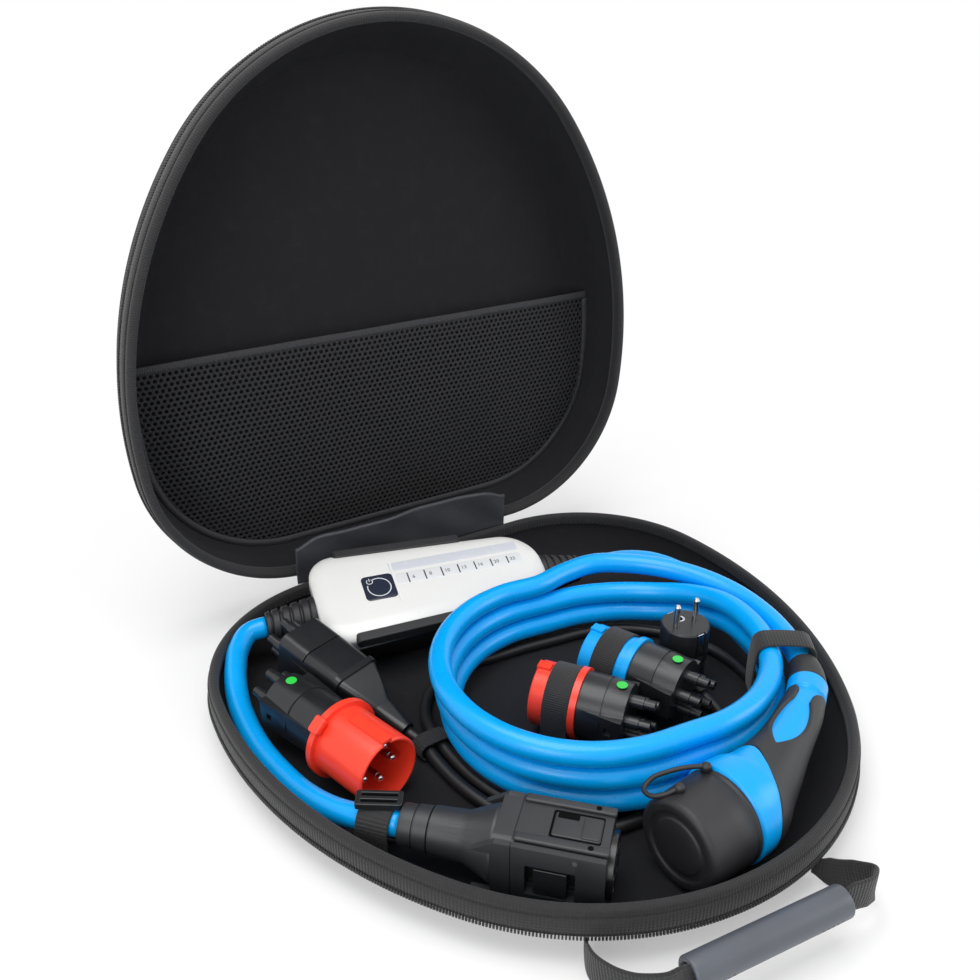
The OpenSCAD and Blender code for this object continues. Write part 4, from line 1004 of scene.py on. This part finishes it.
hard = {node: softened(node, *row) for names, *row in solid_finishes for node in names.split()}
for node, look in (("box_board", "circuit_board"), ("box_relays", "smooth_black"),
                   ("box_sensor", "plated_metal"), ("box_screws", "plated_metal")):
    nodes[node].data.materials.clear()
    nodes[node].data.materials.append(LOOKS[look])
print("softened:", len(hard), "solids")

# %% [markdown]
# ## Cable boots
# Both cables leave the control box through a tapered rubber boot with ribs that let it bend. A boot is a
# profile of radius against length turned about its axis, and so is the pale ring round the plug's earth hole.

# %% Turned boots
BOOT_WIDE, BOOT_NARROW, BOOT_BORE, BOOT_RIBS, GROOVE = 17.5, 11.5, 8.62, 5, 1.9
BACK = (0, 1, 0)


def turned(profile, origin, ahead, sides=48, up=UP):
    """Radius against length turned about an axis: grid[i, j] = origin + ahead*x[i] + circle[j]*r[i]."""
    ahead = unit(np.asarray(ahead, float))
    side = unit(np.cross(ahead, up))
    a = np.linspace(0, 2 * math.pi, sides, endpoint=False)
    circle = np.cos(a)[:, None] * side + np.sin(a)[:, None] * np.cross(side, ahead)
    p = mm(profile)[:, None, None]
    return np.asarray(origin, float) + ahead * p[..., 1] + circle[None] * p[..., 0]


def boot_profile(length):
    """A taper cut by grooves: the radius falls evenly and dips by a rounded notch between the ribs."""
    x = np.linspace(0, length, 20 * BOOT_RIBS + 1)
    r = np.where(x < 3, BOOT_WIDE, BOOT_WIDE - (BOOT_WIDE - BOOT_NARROW) * (x - 3) / (length - 3))
    phase = x / length * BOOT_RIBS
    notch = np.exp(-((np.mod(phase, 1) - 0.5) / 0.16) ** 4)
    r = r - GROOVE * np.where((phase > 0.5) & (phase < BOOT_RIBS - 0.4), notch, 0)
    return np.concatenate([[(BOOT_BORE, 0.0), (BOOT_WIDE - 0.8, 0.0)], np.stack([r, x], 1)[1:-1],
                           [(BOOT_NARROW - 0.9, length), (BOOT_BORE, length - 0.02)]])


earth_ring = [(2.6, 52.5), (4.1, 52.5), (4.1, 53.1), (3.7, 53.35), (3.0, 53.35), (2.6, 53.1)]
earth_hole_ring = lofted("earth_hole_ring", turned(earth_ring, mm([107, -39, 5]), UP, 40, BACK), "print_pale",
                         "plated", closed=True)
for name, x, length, node in (("boot_supply_side", -99, 40, "box_boot_in"),
                              ("boot_vehicle_side", 99, 36, "box_boot_out")):
    at, out = on_box([x, 0, PORT_Z]), on_box([x + math.copysign(1, x), 0, PORT_Z])
    lofted(name, turned(boot_profile(length), at, out - at), "soft_rubber", "soft_black", [node], closed=True)
print("boots made")

# %% [markdown]
# ## Vehicle plug
# The plug is a bent handle that swells from the boot to a round collar. Its blue core shows at the collar
# and through a lens-shaped window; a soft charcoal skin covers the rest. Both are one loft: rings of
# changing width and height along the handle's middle line. The skin sinks below the core inside the lens.

# %% Core and skin
SKIN_T, SKIN_SUNK, SKIN_PAST, SKIN_SWEEP, LOFT_SIDES = 2.4, 3.6, 23, 33, 144
LENS_X, LENS_Y, LENS_TURN, LENS_R, LENS_APART = 82, -177, math.radians(205), 46, 34
handle_rows = np.array([
    [129, -150, 55, 28, 28], [118, -158, 54.5, 28, 29], [103, -167, 53, 31, 33], [86, -175.5, 51, 33, 36],
    [69, -183, 48.5, 37, 40], [53, -189, 45.5, 44, 46], [39, -193, 42, 52, 54], [28, -195.3, 39.7, 62, 62],
    [16, -197, 38, 66, 66], [6, -198, 37.5, 66, 66]])
handle = smooth_line(handle_rows, 0.75)
handle_at = run_along(handle[:, :3])
skin_start, skin_end = (handle_at[np.argmin(np.linalg.norm(handle[:, :3] - handle_rows[k, :3], axis=1))]
                        for k in (1, 6))


def lens(points):
    """How far inside the window a point lies, seen from above: where two circles overlap, and a neck that
    runs from there to the boot and flares."""
    x, y = rotated(points[..., 0] - LENS_X, points[..., 1] - LENS_Y, -LENS_TURN)
    oval = LENS_R - np.maximum(np.hypot(x, y - LENS_APART), np.hypot(x, y + LENS_APART))
    neck = np.where(x < -12, 6.5 + 6 * np.clip((-x - 30) / 11, 0, 1) ** 2 - np.abs(y), -9)
    return np.maximum(oval, neck)


def handle_loft(rows, drop):
    """Rings along the handle, in millimetres, with the loft's width and height less twice the drop."""
    size = handle[rows, 3:][:, None] - 2 * drop
    return carry(circle_profile(1, LOFT_SIDES)[None] * size, handle[rows, :3])


sides_at = np.linspace(0, 2 * math.pi, LOFT_SIDES, endpoint=False)
skin_stop = skin_end + SKIN_PAST - SKIN_SWEEP * ((1 + np.cos(sides_at - 1.0)) / 2) ** 2
from_start, to_stop = handle_at[:, None] - skin_start, skin_stop[None] - handle_at[:, None]
covered = np.clip(to_stop - 0.5, 0, 1) * np.clip(from_start - 0.5, 0, 1)
core_grid = handle_loft(np.arange(len(handle)), ((SKIN_T - 0.15) * covered)[..., None])
core = lofted("vehicle_plug_core", core_grid * MM, "blue_plastic", "blue_plastic", ["vehicle_shell"])
rows = np.flatnonzero((handle_at >= skin_start) & (handle_at <= skin_end + SKIN_PAST + 1))
full = handle_loft(rows, 0)
inside = np.where(full[..., 2] > handle[rows, 2][:, None] + 2, lens(full), -1.0)
sink = np.clip(inside / 1.3, 0, 1)
ends = np.minimum(from_start[rows], to_stop[rows])
lip = SKIN_T * (1 - np.sqrt(np.clip(1 - (1 - np.clip(ends / 2.0, 0, 1)) ** 2, 0, 1)))
drop = np.maximum(SKIN_SUNK * sink * sink * (3 - 2 * sink), np.where(ends < 0, SKIN_SUNK, lip))
skin = lofted("vehicle_plug_skin", handle_loft(rows, drop[..., None]) * MM, "skin_rubber", "soft_black",
              ["vehicle_grip"])
print("plug handle of %.0f mm" % handle_at[-1])

# %% Boot, cap and tether
TETHER_D = 3.2 * MM
boot_line = smooth_line(mm([[146, -130, 55], [138, -141, 55.3], [130.2, -148.8, 55]]), 0.4 * MM)
share = np.linspace(0, 1, len(boot_line))
boot_d = (22 + 5 * share - 1.6 * np.clip(1 - share / 0.06, 0, 1) ** 2) * MM
boot_grid = carry(circle_profile(1, 48)[None] * boot_d[:, None, None], boot_line)
plug_boot = lofted("vehicle_plug_boot", boot_grid, "soft_rubber", "soft_black", ["vehicle_boot"])
corner = np.radians(np.linspace(0, 90, 9))
cap_profile = ([(0.01, 2.0), (31.2, 2.0), (31.5, 2.3), (31.5, 4.6), (30.9, 5.0), (30.8, 6.4), (31.3, 6.9),
                (30.9, 20), (30.6, 30)]
               + [(26.5 + 4.1 * math.cos(a), 38.9 + 4.1 * math.sin(a)) for a in corner]
               + [(24.0, 43.0), (23.2, 42.8), (22.6, 42.1), (22.0, 41.6), (21.0, 41.4), (19.0, 41.4),
                  (18.4, 41.7), (18.0, 42.3), (17.2, 42.6), (9.0, 42.6), (0.01, 42.6)])
cap_way = [math.cos(math.radians(186)), math.sin(math.radians(186)), 0]
cap = lofted("vehicle_plug_cap", turned(cap_profile, mm([6, -198, 37.5]), cap_way, 96), "soft_rubber",
             "soft_black", ["vehicle_cap"])
tether_points = [[0, -184, 69], [-9, -178, 68], [-20, -172, 65], [-31, -169, 62], [-39, -172, 60],
                 [-40, -179, 61], [-35, -185, 64], [-26, -189, 68.6]]
tether_line = smooth_line(mm(tether_points), 1.2 * MM)
tether = tube("cap_tether", tether_line, TETHER_D, 12, "soft_rubber", "soft_black", ["vehicle_tether"])
stud = [(0.01, -5.0), (3.3, -5.0), (3.3, 0.4), (2.9, 1.3), (1.8, 1.9), (0.01, 2.0)]
studs = [lofted("tether_stud_%d" % (k + 1), turned(stud, mm(spot), UP, 24, BACK), "soft_rubber", "soft_black")
         for k, spot in enumerate((tether_points[0], tether_points[-1]))]
print("tether of %.3f m" % line_length(tether_line))

# %% [markdown]
# ## Straps, wraps and the handle
# Everything is held by soft bands: elastic loops over two adapters, a webbing strap with a buckle over
# the supply cable, a hook-and-loop wrap round the coil, a tie round the black lead and the carry handle.
# Each is a flat rounded section carried along the line that the band follows.

# %% Bands
def across_heading(at, yaw, flat):
    """Points of a flat figure that stands square to a heading in degrees, and that heading."""
    ahead, side = (np.array([*rotated(x, y, math.radians(yaw)), 0]) for x, y in ((1, 0), (0, 1)))
    return mm(np.asarray(at, float) + side * flat[:, :1] + UP * flat[:, 1:]), ahead


def arch(at, yaw, radius, left, right, x):
    """A leg up, half a circle and a leg down, moved by x along the heading."""
    a = np.radians(np.linspace(180, 0, 25))
    flat = np.concatenate([[(-radius, -left), (-radius, -left / 2)],
                           np.stack([np.cos(a), np.sin(a)], 1) * radius,
                           [(radius, -right / 2), (radius, -right)]])
    line, ahead = across_heading(at, yaw, flat)
    return line + ahead * x * MM, ahead


def band(name, line, ahead, thickness, width, look, nodes_there, closed=False):
    """A flat band along a line: thickness points away from the line's bend, width along the heading."""
    fine = smooth_line(line, 1.2 * MM, closed)
    section = slab_profile(thickness * MM, width * MM, thickness * 0.45 * MM, 4)
    return lofted(name, carry(section, fine, closed, ahead), look, "webbing", nodes_there, closed=closed)


for name, at, yaw, nodes_there in (("adapter_loop_red", [-20, -30, 33], -54.7, ["adapter_straps"]),
                                   ("adapter_loop_blue", [43, -12, 33], -67.5, [])):
    band(name, *arch(at, yaw, 25.1, 27.9, 27.9, 21), 1.5, 19.6, "elastic_cloth", nodes_there)
band("cable_hold_strap", *arch([-184.5, -74.5, 30.5], -50, 10.9, 15, 23, 11), 1.7, 21.8, "webbing_cloth",
     ["hold_strap"])
coil_loop = across_heading([142.2, -113.6, 43], -124, slab_profile(42.7, 54.7, 8.8, 9))
coil_wrap = band("coil_wrap_band", *coil_loop, 1.5, 20, "webbing_cloth", ["coil_wrap"], True)
tie_loop = across_heading([-103.3, -18, 12.1], -88, slab_profile(25.7, 12.9, 5.8, 9))
lead_tie = band("lead_tie_band", *tie_loop, 1.1, 14, "webbing_cloth", ["lead_tie"], True)
print("bands made")

# %% Latch and guide ribs on the supply connector, with painted shade for its gap, slot and holes, tab on the red shroud
SHROUD_AT, SHROUD_YAW, TAB_ROLL = np.array([-153, -50, 34]), math.radians(105), math.radians(40)


def on_connector(points, at, yaw, roll=0.0):
    """Points along, across and above a connector's axis, in millimetres, turned by roll about that axis,
    in the case's frame in metres."""
    p = np.asarray(points, float)
    across, above = rotated(p[..., 1], p[..., 2], -roll)
    x, y = rotated(p[..., 0], across, yaw)
    return mm(np.stack([x, y, above], -1) + at)


def on_supply(points):
    """Points of the supply connector, measured from the start of its neck."""
    return on_connector(points, SUPPLY_AT, SUPPLY_YAW)


def on_shroud(points):
    """Points of the large red adapter, measured from its mouth and rolled to the tab on its flange."""
    return on_connector(points, SHROUD_AT, SHROUD_YAW, TAB_ROLL)


# The latch gap, latch slot and rib hole plates are flat near-black plates in the shadow_gap finish. They
# paint the shade of the gap round the latch, of the slot and of the rib holes, and their dark_plastic slot
# holds this painted shade.
latch_rows = [("latch_gap", (109.5, 0), (31, 22), 1.5, 24.2, 0.6, 0.1, "shadow_gap", "dark_plastic"),
              ("latch_plate", (110, -0.8), (29, 19), 1.5, 25.2, 1.8, 0.5, "charcoal_satin", "black_plastic"),
              ("latch_step", (118.5, -1), (11, 17), 1.0, 25.9, 1.0, 0.3, "charcoal_satin", "black_plastic"),
              ("latch_slot", (103.5, 6.2), (13, 4.4), 0.5, 25.32, 0.3, 0.05, "shadow_gap", "dark_plastic")]
for k, y in ((1, -16.2), (2, 16.2)):
    latch_rows += [
        ("guide_rib_%d" % k, (103, y), (56, 6.0), 1.5, 26.2, 3.2, 0.9, "charcoal_satin", "black_plastic"),
        ("rib_hole_%d" % k, (120, y), (3.6, 3.6), 1.75, 26.3, 0.3, 0.05, "shadow_gap", "dark_plastic")]
supply_details = [plate("supply_" + name, *row, place=on_supply) for name, *row in latch_rows]
plate("red_shroud_tab", (49, 0), (9, 12), 2.0, 31.8, 5.0, 0.9, "red_plastic", "red_plastic", place=on_shroud)
print("latch, ribs and tab made")

# %% Carry handle
GRIP_A, GRIP_B, GRIP_D = np.array([-84.0, -267, 28]), np.array([25.0, -277, 28]), 20.0
LIP_R, GRIP_BORE, WEB_NARROW, WEB_SWELL, WEB_SEWN = 1.5, 7.0, 12, 10, 0.16
DOT_SIDES, DOT_R, DOT_PITCH, DOT_FIRST, DOT_LOW, DOT_TURN = 10, 0.8, 3.6, 9, -0.85, 0.3


def webbing(name, points, nodes_there):
    """Handle webbing: a flat section that is narrow where it is sewn in and full width between."""
    line = smooth_line(mm(points), 1.5 * MM)
    share = np.linspace(0, 1, len(line))
    narrow = np.clip(np.minimum(share, 1 - share) / WEB_SEWN, 0, 1)
    width = WEB_NARROW + WEB_SWELL * narrow * narrow * (3 - 2 * narrow)
    flat = slab_profile(2.4, 1.0, 0.45, 4)
    profile = mm(np.stack([np.tile(flat[:, 0], (len(line), 1)), flat[:, 1] * width[:, None]], -1))
    lofted(name, carry(profile, line), "webbing_cloth", "webbing", nodes_there)


webbing("handle_webbing_left",
        [[-109.5, -211.3, 9.5], [-114.5, -220, 10], [-114, -240, 14.5], [-105, -257, 20],
         [-95, -265.5, 25.5], [-86, -266.9, 28], [-78, -267.55, 28]], ["handle_straps"])
webbing("handle_webbing_right",
        [[46, -238.3, 9.5], [49.5, -247.5, 10], [57, -262, 15], [57, -273, 20.5], [47, -279, 25.5],
         [28, -277.3, 28], [18, -276.4, 28]], [])

grip_l = float(np.linalg.norm(GRIP_B - GRIP_A))
grip_way = (GRIP_B - GRIP_A) / grip_l
end = [(GRIP_BORE, 0.0)] + [(GRIP_D / 2 - LIP_R * (1 - math.sin(a)), LIP_R + LIP_R * math.cos(a))
                            for a in np.radians(np.linspace(180, 90, 7))]
grip_profile = (end + [(GRIP_D / 2, grip_l * k / 12) for k in range(1, 12)]
                + [(r, grip_l - x) for r, x in end[::-1]])
lofted("handle_grip_sleeve", turned(grip_profile, mm(GRIP_A), grip_way, 64), "grip_plastic", "soft_black",
       ["handle_grip"], closed=True)
column, line_no = (x.ravel() for x in np.meshgrid(np.arange(5), np.arange(3), indexing="ij"))
spot_x = column * DOT_PITCH + DOT_FIRST + DOT_PITCH / 2 * (line_no % 2)
spot_a = np.tile(DOT_LOW + DOT_TURN * line_no, 2)
spot_x = np.concatenate([spot_x, grip_l - spot_x])
spot_out = np.cos(spot_a)[:, None] * np.cross(grip_way, UP) + np.sin(spot_a)[:, None] * UP
spots = GRIP_A + spot_x[:, None] * grip_way + spot_out * (GRIP_D / 2 - 0.02)
top = np.column_stack([circle_profile(2 * DOT_R, DOT_SIDES), np.full(DOT_SIDES, 0.05)])
here, after = np.arange(DOT_SIDES), np.arange(1, DOT_SIDES + 1) % DOT_SIDES
dot = (np.concatenate([top, top * [1, 1, 0]]),
       [np.stack([here, DOT_SIDES + here[::-1]]),
        np.stack([here, here + DOT_SIDES, after + DOT_SIDES, after], 1)])
ways = (np.tile(grip_way, (len(spots), 1)), np.cross(spot_out, grip_way), spot_out)
piece(repeat("handle_grip_dots", dot, mm(spots), *(mm(way) for way in ways)), "smooth_black", "soft_black")
print("handle made")

# %% [markdown]
# ## What is soft
# The lengths of the three cables and of the tether are worked out, and the area of the net is printed.

# %% Cord lengths and net area
round(line_length(supply_line), 3)
round(line_length(charge_line), 3)
round(line_length(black_line), 3)
round(line_length(tether_line), 3)
print("cords and sheets declared, net of %.4f square metres" % net_area)

# %% [markdown]
# ## Floor
# The floor is not part of the object. It is white paper that takes the shadow near the case; to the camera
# it fades into the white surround further out, as a paper sweep does.

# %% Floor and its paper finish
FLOOR_HALF, FLOOR_Z, FADE_FROM, FADE_TO, FADE_NEAR = 6.0, -0.0005, 0.28, 0.62, 0.35
paper = finish("floor_paper", (244, 244, 244), 0.85, size=600, depth=0.00001, tone=0.01, marks=0.0).node_tree
reach = add_node(paper, "VectorMath", {0: add_node(paper, "TexCoord").outputs["Object"]}, operation="LENGTH")
far = add_node(paper, "MapRange", {"Value": reach.outputs["Value"], "From Min": FADE_FROM,
                                   "From Max": FADE_TO, "To Min": FADE_NEAR},
               interpolation_type="SMOOTHSTEP")
sight = maths(paper, "MULTIPLY", add_node(paper, "LightPath").outputs["Is Camera Ray"], far.outputs[0])
fade = add_node(paper, "MixShader", {0: sight, 1: paper.nodes["Principled BSDF"].outputs[0],
                                     2: add_node(paper, "Emission").outputs[0]})
set_inputs(paper, paper.nodes["Material Output"], {"Surface": fade.outputs[0]})
side = np.linspace(-FLOOR_HALF, FLOOR_HALF, 3)
floor_grid = np.stack(np.meshgrid(side, side, [FLOOR_Z], indexing="ij"), -1)[:, :, 0]
piece(grid_mesh("pale_floor", floor_grid, flip=True), "floor_paper", body=None)
